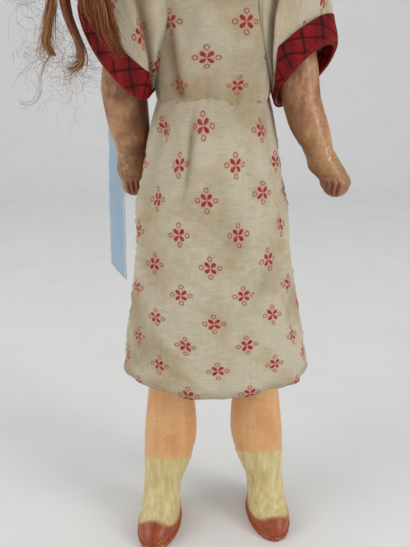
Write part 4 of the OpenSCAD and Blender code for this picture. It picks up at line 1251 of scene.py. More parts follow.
    def _eye(self, side: Side, glass: EyeGlass) -> Object:
        """Ball with its pole at the front and a clear swell over the iris."""
        polar = np.linspace(0, 180, 60)[1:-1, None]
        turn = circle(72)
        r = self.eye_r - 0.15 + 0.3 * bell(polar, 14)
        t = np.radians(polar)
        out, middle = r * np.sin(t), self.figure.chin_z + self.eye_rise - 0.1
        points = stack(side.value * self.eye_gap + out * np.cos(turn), self.eye_y - r * np.cos(t),
                       middle + out * np.sin(turn))
        edge = np.linspace(0, TAU, 73)[None]
        uv = stack(edge, polar)
        piece = Piece(side.named("glass_eye"))
        piece.grid(points, wrap=True, fans=(True, True), maps={"eye": uv})
        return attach(piece.finish(glass, side.named("eye")), "head")


@dataclass(frozen=True)
class Lock:
    """A lock of hair: its strands, its tone, how ragged it is and how golden its tips are.

    Its stations run from the root: x outwards, y, z, half width and half depth.
    """

    count: int
    tone: float
    ragged: float
    golden: float
    stations: list[list[float]]


@dataclass
class Wig:
    """Mohair wig: combed strands over a cap, long falls over the back and shoulders, and stray wisps."""

    figure: Figure
    head: Head
    cap_t: float = 5.0
    cap_clear: float = 1.6
    fringe_share: float = 0.66
    # Radius of a drawn strand, several real hairs thick so that it shows
    strand_r: float = 0.24
    seed: int = 11
    # Furthest that a stray hair reaches to the side
    reach_x: float = 97.0
    # Stations of the long trailing wisp: x outwards, y, and z from the shoulder
    trail: tuple[tuple[float, float, float], ...] = (
        (80, -10, -37), (83, -10, -41), (85.8, -10, -47.5), (86.5, -10, -54.5), (90, -10, -59.3),
        (95, -10, -61), (98, -10, -59.6))

    @property
    def temple_x(self) -> float:
        """Side of the wig at the temples."""
        return self.head.half_w + self.cap_t + self.cap_clear

    def hairline(self, turn: Array) -> Array:
        """Height of the hairline above the chin round the head: high over the face, low at the nape."""
        front = ease((-np.sin(turn) - 0.25) / 0.5)
        back = ease((np.sin(turn) + 0.1) / 0.6)
        side = 24 + (8 - 24) * back
        return side + (self.fringe_share * self.figure.head_h - side) * front

    def right_locks(self) -> list[Lock]:
        """The locks over and beside the right sleeve."""
        z, x = self.figure.shoulder_z, self.temple_x
        over = [[x - 7, -3, z + 64, 3, 8], [x, -9, z + 48, 6, 9], [57, -18, z + 22, 10, 7],
                [58, -24, z - 4, 10, 4.5], [53, -26, z - 18, 8, 3.2], [47, -26, z - 30, 5, 2.2],
                [43, -26, z - 38, 2.5, 1.2]]
        hooked = [[x - 7, 2, z + 62, 3, 8], [x + 8, -4, z + 42, 6, 8], [70, -12, z + 8, 4, 4.5],
                  [69.5, -15, z - 14, 2.4, 2.6], [66, -16, z - 26, 1.8, 1.8], [63, -17, z - 34, 1.5, 1.4],
                  [63.3, -17, z - 39, 1.2, 1], [66, -17, z - 42, 0.9, 0.8], [71, -17, z - 43, 0.7, 0.6]]
        outer = [[x - 7, 9, z + 62, 3, 7], [x + 12, 3, z + 43, 6, 7], [78, -4, z + 10, 4, 4.5],
                 [77, -7, z - 8, 2.5, 2.6], [80, -9, z - 22, 2.2, 2.3], [81.5, -10, z - 31, 2.2, 2.3],
                 [78.5, -10, z - 38, 2.4, 2.2]]
        return [Lock(700, 0.46, 0.3, 0, over), Lock(300, 0.42, 0.1, 0.7, hooked),
                Lock(320, 0.68, 0.16, 1, outer)]

    def left_locks(self) -> list[Lock]:
        """The lock behind the left shoulder."""
        z, x = self.figure.shoulder_z, self.temple_x
        return [Lock(620, 0.5, 0.4, 0.7, [
            [x - 7, 0, z + 64, 3, 9], [x + 3, 8, z + 45, 7, 10], [46, 22, z + 24, 8.5, 8], [43, 28, z, 6, 5],
            [40, 28, z - 26, 2, 2]])]

    def build(self, finish: Hair) -> list[Object]:
        """Makes the cap of combed hair, the back fall and the falls at both sides."""
        return [self._cap(finish), self._back(finish), self._falls(finish, Side.RIGHT, self.right_locks()),
                self._falls(finish, Side.LEFT, self.left_locks())]

    def _marks(self, rng: np.random.Generator, count: int, length: int, start: float = 0) -> dict[str, Array]:
        """Place along each strand, from a start to 1, and one seeded tone for each strand."""
        along = np.linspace(start, 1, length)[None] + np.zeros((count, 1))
        tone = np.clip(rng.normal(0.55, 0.2, (count, 1)), 0, 1) + np.zeros((1, length))
        return {"along": along, "tone": tone}

    def _cap(self, finish: Hair) -> Object:
        """A closed under-layer over the skull, and strands combed from the crown to the hairline."""
        rng = np.random.default_rng(self.seed)
        grow = self.cap_clear + self.cap_t - 0.8
        piece = Piece("combed_wig")
        turn = circle(160)
        share = np.linspace(0, 1, 50)[:, None]
        lift = self._cap_points(turn, share, grow - 1)
        inner = self._cap_points(turn, share[::-5], grow - 3.2)
        skin = np.concatenate([inner, lift])
        piece.grid(skin, wrap=True, fans=(False, True), marks={"along": 0.4, "tone": 0.36})
        count, length = 2200, 13
        each = partial(rng.uniform, size=(count, 1))
        start = each(0, TAU)
        way = np.linspace(0, 1, length)[None]
        angle = start + 0.05 * np.sin(way * 9 + each(0, TAU))
        down = 1 - way * each(0.86, 1.04)
        height = grow - 0.7 + each(0, 1.5) * np.sin(way * math.pi) ** 0.5
        paths = self._cap_points(angle, np.clip(down, 0, 1), height)
        radius = self.strand_r * each(0.7, 1.35) * (1 - 0.5 * way**4)
        piece.strands(paths, radius, self._marks(rng, count, length, 0.15))
        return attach(piece.finish(finish, "wig_cap"), "head")

    def _cap_points(self, turn: Array, share: Array, grow: Array | float) -> Array:
        """Points over the skull from the hairline, at share 0, to the crown, at share 1."""
        turn, share = np.broadcast_arrays(turn, share)
        line = self.hairline(turn)
        rise = line + (0.995 * self.figure.head_h - line) * np.sin(share * math.pi / 2)
        swell = grow + 1.5 * np.sin(math.pi * (0.15 + 0.7 * share))
        points = self.head.skull(turn, rise, swell)
        lift = (self.cap_clear + self.cap_t) * ease((rise / self.figure.head_h - 0.5) / 0.5)
        return points + stack(0 * lift, 0 * lift, lift)

    def _back(self, finish: Hair) -> Object:
        """Waving strands in clumps across the back, from the cap down past the shoulders."""
        rng = np.random.default_rng(self.seed + 1)
        z, depth = self.figure.shoulder_z, self.head.nape_d + self.cap_t
        stations = [[z - 30, 30, 7, 30, 2.5], [z, 30.5, 7, 33, 5], [z + 25, 35, 9, 35, 6],
                    [z + 52, depth + 4, 16, 32, 6], [z + 74, depth + 3.5, 15, 26, 3]]
        count, length, clumps = 2100, 14, 15
        each = partial(rng.uniform, size=(count, 1))
        across = each(-1, 1)
        layer = each(0.05, 0.95)
        clump = np.floor((across + 1) / 2 * clumps)
        middle = (clump + 0.5) / clumps * 2 - 1
        way = np.linspace(0, 1, length)[None]
        ends = each(0.80, 1) - 0.06 * np.cos(clump * 2.3)
        high = z + 74 - (104 * np.clip(ends, 0, 1)) * way
        s = through(stations, high)
        drawn = across + (middle - across) * 0.55 * ease((way - 0.25) / 0.75)
        wave = ease(way * 1.6) * np.sin(way * 11 + clump * 1.9)
        x = s[..., 3] * drawn + 1.6 * wave + 0.5 * rng.normal(size=(count, 1)) * way
        y = s[..., 1] - s[..., 2] * drawn**2 + s[..., 4] * layer + wave * (layer - 0.2)
        paths = stack(x, y, high)
        radius = self.strand_r * each(0.8, 1.6) * (1 - 0.75 * way**3)
        piece = Piece("back_fall")
        piece.strands(paths, radius, self._marks(rng, count, length, 0.2))
        # Two sheets inside the fall, given a low tone as painted shade within the hair
        core_u = np.linspace(-0.93, 0.93, 60)[None]
        core_z = np.linspace(z - 12, z + 73, 60)[:, None]
        core = through(stations, core_z + 0 * core_u)
        for share, flip in ((0.3, False), (0.62, True)):
            core_y = core[..., 1] - core[..., 2] * core_u**2 + core[..., 4] * share
            skin = stack(core[..., 3] * core_u, core_y + 0.25 * np.sin(core_u * 60),
                         core_z + 4 * np.sin(core_u * 21) * (core_z < z))
            piece.grid(skin, marks={"along": 0.35, "tone": 0.2}, flip=flip)
        made = piece.finish(finish, "back_hair")
        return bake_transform(made)

    def _falls(self, finish: Hair, side: Side, locks: list[Lock]) -> Object:
        """Locks of waving clumps of strands that draw in to their tips, with stray wisps round them.

        Each lock's middle runs smoothly through its stations. A clump keeps its place in the lock's oval
        while that turns about the middle, and waves with its own phase. Its strands lie round it, closer
        towards the tip, and each stops at its own share of the way. A core painted dark, as painted shade
        inside the lock, fills the upper part.

        Args:
            finish: The hair's finish.
            side: The side of the doll.
            locks: The side's locks.

        Returns:
            The fall.
        """
        rng = np.random.default_rng(self.seed + 5 + side.value)
        piece = Piece(side.named("fall"))
        length, clumps = 24, 14
        way = np.linspace(0, 1, length)[None]
        roots = []
        for lock in locks:
            count, ragged = lock.count, lock.ragged
            each = partial(rng.uniform, size=(count, 1))
            stations = [[i, *row] for i, row in enumerate(lock.stations)]
            last = len(stations) - 1
            own = rng.uniform(0, 1, (clumps, 6))[rng.integers(clumps, size=count)][..., None]
            reach = 1 - ragged * (own[:, 2] + 0.3 * each(0, 1))
            s = through(stations, last * way * reach)
            turn = TAU * own[:, 1] + 3 * way
            angle = each(0, TAU)
            near = 0.4 * np.sqrt(each(0, 1)) * (1 - 0.3 * way)
            u, v = (0.7 * np.sqrt(own[:, 0]) * f(turn) + near * f(angle + 2 * way) for f in (np.cos, np.sin))
            wave = np.sin((10 + 8 * own[:, 4]) * way + TAU * own[:, 4])
            wave *= ragged * (0.6 + 2.4 * own[:, 3]) * ease(2 * way)
            stray = 6 * each(0, 1) ** 9 * way**2
            paths = s[..., 1:4] + stack(s[..., 4] * u + wave + stray * np.cos(angle),
                                        s[..., 5] * v + 0.5 * wave, stray * np.sin(angle))
            roots.append(paths[:, length // 2:].reshape(-1, 3))
            radius = self.strand_r * each(0.45, 1.1) * (1 - 0.6 * way**3)
            marks = self._marks(rng, count, length, 0.2)
            marks["tone"] = np.clip(marks["tone"] + lock.tone - 0.55 + 0.5 * (own[:, 5] - 0.5), 0, 1)
            marks["along"] = np.minimum(marks["along"], 0.6 + 0.4 * lock.golden)
            piece.strands(paths * side.mirror, radius, marks)
            # A core inside the lock's upper part, given a low tone as painted shade within the hair
            turn = circle(24)
            deep = np.linspace(0.42 * last, 0, 30)[:, None]
            core = through(stations, deep + 0 * turn)
            shrink = 0.6 * ease((0.46 * last - deep) / (0.25 * last))
            skin = core[..., 1:4] + stack(shrink * core[..., 4] * np.cos(turn),
                                          shrink * core[..., 5] * np.sin(turn), 0 * turn)
            piece.grid(skin * side.mirror, wrap=True, fans=(True, True), marks={"along": 0.3, "tone": 0.15})
        self._wisps(piece, rng, side, np.concatenate(roots[-2:]))
        made = piece.finish(finish, side.named("hair"))
        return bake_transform(made)

    def _wisps(self, piece: Piece, rng: np.random.Generator, side: Side, roots: Array) -> None:
        """Single fine hairs that leave the locks and bend away in open arcs, and one long trailing wisp.

        A hair starts at a seeded point of a lock and goes on at a steady speed while its heading turns, so
        its path is the running sum of its heading. The trailing wisp runs through its own stations.

        Args:
            piece: The fall that takes them.
            rng: The fall's random numbers.
            side: The side of the doll.
            roots: Points on the locks, with x outwards.
        """
        count, length = (240, 20) if side is Side.RIGHT else (40, 20)
        each = partial(rng.uniform, size=(count, 1))
        way = np.linspace(0, 1, length)[None]
        start = roots[rng.integers(len(roots), size=count)]
        step = each(8, 40) / length
        curl = each(0.2, 1.5) * np.sin(each(4, 13) * way + start[:, 1:2])
        heading = rng.normal(-1.4, 0.9, (count, 1)) + rng.normal(0, 1.6, (count, 1)) * way + curl
        x = start[:, :1] + np.cumsum(step * np.cos(heading), axis=1)
        z = start[:, 2:] + np.cumsum(step * np.sin(heading), axis=1)
        y = start[:, 1:2] + rng.normal(0, 0.25, (count, 1)) * step * length * way - 2 * way
        x = np.clip(x, np.minimum(start[:, :1], 50), self.reach_x)
        fine = each(0.025, 0.05) + 0 * way
        marks = self._marks(rng, count, length, 0.55)
        marks["tone"] = 0.4 * marks["tone"]
        piece.strands(stack(x, y, z) * side.mirror, fine, marks)
        if side is Side.RIGHT:
            trail = through([[i, *row] for i, row in enumerate(self.trail)], np.linspace(0, 6, 40))[:, 1:]
            loose = rng.normal(0, 0.9, (7, 1, 3)) * np.linspace(0.2, 1.7, 40)[None, :, None]
            trail = trail[None] + loose + np.array([0, 0, self.figure.shoulder_z])
            trail[..., 0] = np.minimum(trail[..., 0], self.reach_x)
            piece.strands(trail * side.mirror, np.full((7, 40), 0.06), self._marks(rng, 7, 40, 0.6))


@dataclass
class HairRibbon:
    """Satin ribbon: a knot with two loops behind the right temple, a tail at the arm and one behind."""

    figure: Figure
    wig: Wig
    width: float = 15.0
    side_end_z: float = 146.5
    back_end_z: float = 160.0
    loop_l: float = 20.0
    # How much lower one corner of a cut end is than the other
    slant: float = 8.0
    thick: float = 0.3

    @property
    def knot(self) -> Array:
        """Middle of the knot."""
        return np.array([-(self.wig.temple_x + 6.5), 20, self.figure.shoulder_z + 72])

    def build(self, finish: Satin) -> list[Object]:
        """Makes the bow and both tails."""
        z, knot = self.figure.shoulder_z, self.knot
        rise, drop = z - self.side_end_z, z - self.back_end_z
        side = [[0, -58.3, 40, self.side_end_z, 0, -45], [1, -57.3, 40, self.side_end_z + 0.3 * rise, 0, -45],
                [2, -55.2, 40, self.side_end_z + 0.65 * rise, 0, -45], [3, -52.5, 38, z + 10, 0, -45],
                [4, -51, 32, z + 46, 0, -42], [5, knot[0] - 2, knot[1] + 3, knot[2] - 5, 0, -38]]
        back = [[0, 8, 49.3, self.back_end_z, 0, 0], [1, 7, 49.5, self.back_end_z + 0.45 * drop, 0, 0],
                [2, 4, 49.8, z - 32, 2, 0], [3, -3, 50, z + 10, 10, 4], [4, -16, 48.5, z + 36, 30, 18],
                [5, -31, 39, z + 54, 35, 40], [6, knot[0] + 6, knot[1] + 8, knot[2] - 5, 35, 55]]
        return [self._bow(finish), self._tail("side_ribbon", "ribbon_tail", side, finish),
                self._tail("back_ribbon", "back_ribbon_tail", back, finish)]

    def _tail(self, name: str, node: str, stations: list[list[float]], finish: Satin) -> Object:
        """A flat strip along its stations, cupped a little and creased, with a slanting cut end.

        Args:
            name: The piece's name.
            node: The node that it stands for.
            stations: Place in the list, x, y, z, tilt and turn of the width in degrees.
            finish: The ribbon's satin.

        Returns:
            The tail.
        """
        last = stations[-1][0]
        place = np.linspace(0, last, 160)[:, None]
        across = np.linspace(-1, 1, 15)[None]
        s = through(stations, place[:, 0])
        tilt, turn = np.radians(s[:, 4]), np.radians(s[:, 5])
        width = stack(np.cos(tilt) * np.cos(turn), np.cos(tilt) * np.sin(turn), np.sin(tilt))
        ahead = unit(np.gradient(s[:, 1:4], axis=0))
        out = unit(np.cross(ahead, width))
        points = s[:, None, 1:4] + width[:, None] * (across * self.width / 2)[..., None]
        down = column_lengths(points)[:, 7:8]
        crease = 0.35 * wander(stack(across * 6, down), 18, len(name))
        cup = 0.5 * across**2 + crease * ease(down / 12)
        points = points + out[:, None] * cup[..., None]
        points[..., 2] -= ease(1 - down / 16) * across * self.slant / 2
        fray = 0.4 * wander(stack(across * 30, across * 0), 2.2, 4)
        points[0, :, 2] += np.maximum(fray[0], 0)
        piece = Piece(name)
        piece.grid(points, maps={"weave": stack(across * self.width / 2, down)}, flip=True)
        made = thicken(piece.finish(finish, node), self.thick)
        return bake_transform(made)

    def _bow(self, finish: Satin) -> Object:
        """Two pinched loops and a creased knot.

        A loop's path is a drop: out by the sine of half a turn and aside by the sine of a whole one. The
        strip across it is narrow at the knot and wide at the far end.
        """
        piece = Piece("ribbon_bow")
        t = np.linspace(0.02, 0.98, 70)[:, None]
        across = np.linspace(-1, 1, 17)[None]
        for lean, sag in ((55, -1.5), (125, 1)):
            turn = math.radians(lean)
            way = np.array([math.cos(turn), math.sin(turn), 0])
            side = np.array([-math.sin(turn), math.cos(turn), 0])
            out = (self.loop_l + 2.2) * np.sin(math.pi * t) ** 0.8
            aside = 3.6 * np.sin(TAU * t)
            half = 3 + (self.width / 2 - 2.2) * ease(out / self.loop_l)
            pleat = 0.5 * np.cos(across * 7) * ease(1 - out / 12)
            points = (self.knot + way * out[..., None] + side * (aside + pleat)[..., None]
                      + np.array([0, 0, 1]) * (half * across + sag * out / self.loop_l)[..., None])
            piece.grid(points, maps={"weave": stack(across * self.width / 2, 46 * t)})
        polar = np.linspace(0, math.pi, 26)[1:-1, None]
        turn = circle(40)
        fold = 1 + 0.07 * np.sin(6 * np.cos(polar) * 3 + 0.8 * np.sin(turn))
        ball = stack(3.6 * np.sin(polar) * np.cos(turn), 3.4 * np.sin(polar) * np.sin(turn),
                     4.2 * np.cos(polar)) * fold[..., None]
        edge = np.linspace(0, TAU, 41)[None]
        uv = stack(4 * np.cos(polar), 4 * edge)
        piece.grid(self.knot + ball, wrap=True, fans=(True, True), maps={"weave": uv})
        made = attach(thicken(piece.finish(finish, "hair_bow"), self.thick), "head")
        return made


@dataclass
class Dress:
    """The printed dress: bodice, skirt, sleeves with turned tartan cuffs, bound neck and back buttons."""

    figure: Figure
    cloth_t: float = 0.6
    neckline_r: float = 18.3
    neck_drop: float = 1.0
    hem_half_w: float = 52.5
    hem_half_d: float = 41.0
    hem_sway: float = 2.0
    hip_half_w: float = 39.4
    hip_half_d: float = 33.0
    hem_gap: float = 0.4
    hole_half_d: float = 16.1
    hole_top_rise: float = 16.1
    hole_low_rise: float = 5.0
    arm_hole_r: float = 13.5
    # Rim of a sleeve by side: its top's place outwards and down from the shoulder, its low end, and its tilt
    rims: dict[Side, tuple[float, float, float, float]] = field(
        default_factory=lambda: {Side.LEFT: (34, 35, 58, -11), Side.RIGHT: (39, 14, 53, 12)})
    cuff_low_out: float = 5.0
    cuff_half_d: float = 18.0
    cuff_w: float = 13.0
    sleeve_lift: float = 21.0
    lift_share: float = 0.9
    # Shift of a sleeve's print round it and along it, and its scale
    sleeve_print: dict[Side, tuple[float, float, float]] = field(
        default_factory=lambda: {Side.LEFT: (0.16, 0.18, 1.15), Side.RIGHT: (0, 0.4, 1)})
    fold_depth: float = 1.8
    fold_lean: float = 15.0
    waist_tuck: float = 0.4
    # Distance between two columns of flowers at the hip and at the hem
    period: tuple[float, float] = (30.4, 33.4)
    chest_period: tuple[float, float] = (38, 32)
    # Folds round the skirt: angle, depth, spread in degrees, share of the length that they run down
    folds: tuple[tuple[float, float, float, float], ...] = (
        (251, -1.7, 2.8, 0.05), (243, 1.9, 4, 0.1), (218, -1.6, 5, 0.1), (203, 0.8, 7, 0.3),
        (292, 0.5, 9, 0.2), (301, -0.8, 5, 0.1), (318, 0.6, 8, 0.4), (334, -0.9, 5, 0.4),
        (20, 0.8, 9, 0.9), (55, 1, 8, 0.9), (88, 0.9, 8, 0.9), (122, 1, 8, 0.9), (155, 0.8, 9, 0.9),
        (190, 0.6, 9, 0.8))
    # Height and the number of flower rows below the waist, and height and the middle column's place
    print_rows: tuple[tuple[float, float], ...] = (
        (103, 4.56), (118.1, 4), (144.8, 3), (173.4, 2), (207.3, 1), (242, 0), (256, -0.4))
    print_middle: tuple[tuple[float, float], ...] = (
        (103, 1.7), (118.1, 1.3), (173.4, -1.8), (242, -4.8), (256, -5.4))

    @property
    def neckline_z(self) -> float:
        """Height of the neck's edge."""
        return self.figure.neck_z - self.neck_drop

    @property
    def skirt_top_z(self) -> float:
        """Height at which the skirt is sewn to the bodice."""
        return self.figure.waist_z - self.hem_gap

    def bodice_stations(self) -> list[list[float]]:
        """Height, half width and half depth of the bodice."""
        waist, shoulder = self.figure.waist_z, self.figure.shoulder_z
        return [[waist, 28.2, 21.2], [waist + 10, 30.3, 24.3], [waist + 36, 30.3, 23.8],
                [shoulder, 29.2, 20.7], [shoulder + 10, 26, 18.5],
                [self.neckline_z, self.neckline_r, self.neckline_r]]

    def skirt_stations(self) -> list[list[float]]:
        """Height, half width and half depth of the skirt."""
        hem, hip = self.figure.hem_z, self.figure.hip_z
        return [[hem, self.hem_half_w, self.hem_half_d], [(hem + hip) / 2, 44.64, 37.8],
                [hip, self.hip_half_w, self.hip_half_d], [hip + 36, 33.5, 29], [self.skirt_top_z, 28.8, 21.8]]

    def build(self, cotton: PrintedCotton, tartan: Tartan) -> list[Object]:
        """Makes every piece of the dress."""
        bodice = self._bodice(cotton)
        made = [bodice, self._skirt(cotton), self._binding(cotton), self._buttons()]
        for side in Side:
            made += [self._sleeve(side, cotton), self._cuff(side, tartan)]
        return made

    @staticmethod
    def _round(columns: int) -> Array:
        """Angles of the columns in degrees, from the middle of the back round by the front."""
        return 90 + circle(columns, 360)

    def _cloth_map(self, points: Array, low: float) -> Array:
        """Cloth coordinates in millimetres: along the ring from the front, and up from the first row."""
        length = row_lengths(points)
        middle = points.shape[1] // 2
        up = close_ring(column_lengths(points)) + low
        return stack(length - length[:, middle:middle + 1], up)

    def _skirt(self, cotton: PrintedCotton) -> Object:
        """The skirt: level ovals through its stations, with folds, gathers and a turned hem on the radius."""
        z = np.linspace(self.figure.hem_z, self.figure.waist_z + 2.5, 121)[:, None]
        angle = self._round(372)
        below = self.skirt_top_z - z
        share = np.maximum(below, 0) / (self.skirt_top_z - self.figure.hem_z)
        size = through(self.skirt_stations(), np.minimum(z[:, 0], self.skirt_top_z))
        turn = np.radians(angle)
        grow = self.fold_depth * self._fold_sum(angle, share) + self._gather(angle, np.abs(below))
        plain = stack(size[:, 1:2] * np.cos(turn), size[:, 2:3] * np.sin(turn), z)
        grow = grow + 0.85 * wander(plain * np.array([1, 1, 0.45]), 17, 21) * ease(share * 3)
        grow = grow - 0.6 * ease(1 - below / 8) - self.waist_tuck * ease((2.5 - below) / 5)
        grow = grow + 0.4 * wander(plain * np.array([1, 1, 1.8]), 9, 22) * ease(share * 3)
        rise = z - self.figure.hem_z
        grow = grow + 0.28 * ease((9 - rise) / 0.8) - 0.3 * bell(rise - 9.2, 0.7)
        grow = grow + 0.4 * bell(rise - 55 - 4 * np.sin(turn * 3), 2.2) * toward(angle, 262, 26)
        points = plain + stack(grow * np.cos(turn), grow * np.sin(turn), 0 * grow)
        points[..., 0] += self.hem_sway * share**2
        points[..., 2] += 0.9 * np.sin(5 * turn + 0.6) * ease(share * 2 - 1)
        points[..., 2] += self._waist_sway(turn, z)
        weave = self._cloth_map(points, 0)
        row, start = (through(table, z[:, 0])[:, 1:] for table in (self.print_rows, self.print_middle))
        upper, lower = self.period
        column = (weave[..., 0] - start) / (upper + (lower - upper) * ease((200 - z) / 50))
        column = column - 0.17 * ease(-2 * column - 0.6) * ease((z - 215) / 25)
        drag = 0.05 * np.minimum(column**2, 4) - 0.14 * ease(2 * column - 1) * bell(z - 195, 40)
        drag = drag + 0.09 * ease(2 * column - 1) * bell(z - 242, 14)
        prints = stack(column, row - drag)
        # Hem edge darker; painted shade at the left side, in the main fold's crease and under the waist
        soil = 0.3 * bell(rise - 1, 2) + 0.16 * toward(angle, 212, 18) * bell(z - 215, 32)
        crease = toward(angle + self.fold_lean * share, 252.5, 2.6) * ease(9 * share)
        soil = soil + 0.3 * crease * (1 - ease((share - 0.05) / 0.3)) + 0.16 * bell(share - 0.03, 0.05)
        piece = Piece("skirt_cloth")
        piece.grid(points, wrap=True, maps={"weave": weave, "print": prints},
                   marks={"soil": np.clip(soil, 0, 1)})
        made = thicken(piece.finish(cotton, "dress_skirt"), self.cloth_t)
        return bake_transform(made)

    def _fold_sum(self, angle: Array, share: Array) -> Array:
        """Sum of bells round the skirt, each fading in below the waist and out down the length."""
        leant = angle + self.fold_lean * share
        return ease(7 * share) * sum(depth * toward(leant, centre, spread) * (1 - ease((share - run) / 0.5))
                                     for centre, depth, spread, run in self.folds)

    @staticmethod
    def _gather(angle: Array, away: Array) -> Array:
        """Fine puckers at the drawn-in waist that die out within about 20 mm."""
        turn = np.radians(angle)
        fine = np.cos(31 * turn + 1.6 * np.sin(4 * turn)) * np.exp(-np.maximum(away, 0) / 7)
        broad = np.cos(14 * turn + 0.7 * np.sin(3 * turn)) * (1 - ease(away / 24))
        return 0.45 * fine + 0.5 * broad

    def _waist_sway(self, turn: Array, z: Array) -> Array:
        """Uneven rise and fall of the drawn-in waist line."""
        return (1.1 * np.sin(3 * turn + 0.4) + 0.7 * np.sin(8 * turn + 2)) * bell(z - self.figure.waist_z, 9)

    def _bodice_x(self, y: Array, z: Array) -> Array:
        """Side of the bodice at a place in side view."""
        size = through(self.bodice_stations(), z)
        return size[..., 1] * np.sqrt(np.maximum(0.05, 1 - (y / size[..., 2]) ** 2))

    def _hole(self) -> tuple[float, float]:
        """Middle height and half height of the armhole."""
        top = self.figure.shoulder_z + self.hole_top_rise
        low = self.figure.waist_z + self.hole_low_rise
        return (top + low) / 2, (top - low) / 2

    def _bodice(self, cotton: PrintedCotton) -> Object:
        """The bodice: level ovals with gathers and folds; points inside an arm's hole move to its edge."""
        z = np.linspace(self.figure.waist_z - 2.5, self.neckline_z, 91)[:, None]
        angle = self._round(332)
        turn = np.radians(angle)
        size = through(self.bodice_stations(), np.maximum(z[:, 0], self.figure.waist_z))
        up = z - self.figure.waist_z
        grow = self._gather(angle, np.abs(up)) - self.waist_tuck * ease((2.5 - up) / 5)
        lean = 247 - 0.36 * up
        ridge = ease(up / 4) * ease((46 - up) / 22)
        grow = grow + ridge * (1.9 * toward(angle, lean, 4.5) - 1.5 * toward(angle, lean - 11, 5.5))
        grow = grow + 0.7 * toward(angle, 301 + 0.2 * up, 6) * ridge
        plain = stack(size[:, 1:2] * np.cos(turn), size[:, 2:3] * np.sin(turn), z)
        loose = ease(up / 10) * ease((70 - up) / 20)
        grow = grow + 0.6 * wander(plain * np.array([1, 1, 0.5]), 15, 31) * loose
        points = plain + stack(grow * np.cos(turn), grow * np.sin(turn), 0 * grow)
        points[..., 2] += self._waist_sway(turn, z)
        weave = self._cloth_map(points, 400)
        middle = self.figure.shoulder_z
        x, y, high = np.moveaxis(points, -1, 0)
        apart = np.hypot(y, high - middle) / self.arm_hole_r
        inside = (apart < 1) & (np.abs(x) > self.neckline_r + 0.5)
        push = np.where(inside, np.maximum(apart, 0.05), 1)
        y, high = y / push, middle + (high - middle) / push
        edge = np.sign(x) * self._bodice_x(y, np.minimum(high, self.neckline_z))
        points = stack(np.where(inside, edge, x), y, high)
        ring = close_ring(inside)
        keep = ~(ring[:-1, :-1] & ring[:-1, 1:] & ring[1:, 1:] & ring[1:, :-1])
        wide, tall = self.chest_period
        row = close_ring(self.figure.shoulder_z - 22 - points[..., 2]) / tall
        column = (weave[..., 0] + 22) / wide
        column = column + 0.24 * (column - 0.5) * ease((18 - up) / 10)
        prints = stack(column, row + 0.27 * np.maximum(row - 0.5, 0))
        # Painted shade: a broad band over the lower bodice and a line in the valley beside the fold's ridge
        soil = 0.18 * bell(up - 20, 22) + 0.55 * toward(angle, lean - 9, 5) * ridge
        piece = Piece("bodice_cloth")
        piece.grid(points, wrap=True, maps={"weave": weave, "print": prints}, keep=keep,
                   marks={"soil": np.clip(soil, 0, 0.8)})
        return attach(thicken(piece.finish(cotton, "dress_bodice"), self.cloth_t), "torso")

    def sleeve_lines(self, side: Side, angle: Array, grow: Array | float) -> tuple[Array, Array, Array]:
        """Start, pull point and end of the quadratic lines along a sleeve.

        A line runs from the armhole's oval to the rim's oval, which leans to the front or the back, and its
        pull point lies above their middle, so that the top passes over the shoulder.

        Args:
            side: The side of the doll.
            angle: Angle round the sleeve in degrees, 0 at the top and 270 at the front.
            grow: Margin outwards.

        Returns:
            Points with x outwards.
        """
        turn, grow = np.broadcast_arrays(np.radians(angle), np.asarray(grow, float))
        middle, half_h = self._hole()
        y, z = (self.hole_half_d + grow) * np.sin(turn), middle + (half_h + grow) * np.cos(turn)
        x = np.maximum(self.neckline_r + 2, self._bodice_x(y, np.minimum(z, self.neckline_z)) + self.hem_gap)
        start = stack(x, y, z)
        out, drop, below, tilt = self.rims[side]
        shoulder = np.array([self.figure.shoulder_x, self.figure.shoulder_z])
        top, low = shoulder + np.array([out, -drop]), shoulder + np.array([self.cuff_low_out, -below])
        centre, half = (top + low) / 2, (top - low) / 2
        reach, deep = 1 + grow / np.linalg.norm(half), 1 + grow / self.cuff_half_d
        last = stack(centre[0] + half[0] * reach * np.cos(turn), self.cuff_half_d * deep * np.sin(turn),
                     centre[1] + half[1] * reach * np.cos(turn) + tilt * deep * np.sin(turn))
        bow = (self.sleeve_lift + self.lift_share * drop) * ease((np.cos(turn) + 0.4) / 1.4)
        return start, (start + last) / 2 + stack(bow * 0.16, 1.5 * np.sin(turn), bow), last

    def sleeve_points(self, side: Side, angle: Array, share: Array, grow: Array | float) -> Array:
        """Sleeve surface, with x outwards, from the armhole at share 0 to the rim at share 1."""
        angle, share, grow = np.broadcast_arrays(angle, share, np.asarray(grow, float))
        start, pull, last = self.sleeve_lines(side, angle, grow)
        t = share[..., None]
        return start * (1 - t) ** 2 + pull * 2 * t * (1 - t) + last * t**2

    def _drag(self, side: Side, angle: Array, share: Array) -> tuple[Array, Array]:
        """Depth of the sleeve's folds at the armpit, and the painted shade that sits in their valley."""
        front = toward(angle, 262, 42)
        lean = 0.0011 * turn_gap(angle, 262)
        at = 0.17 if side is Side.LEFT else 0.34
        valley = bell(share - at - lean, 0.05) * front
        ridge = front * (bell(share - at - 0.16 - lean, 0.07) + 0.7 * bell(share - at + 0.13 - lean, 0.05))
        back = toward(angle, 100, 40) * bell(share - 0.25, 0.08)
        return -2.3 * valley + 1.1 * ridge - 1.2 * back, 0.75 * valley

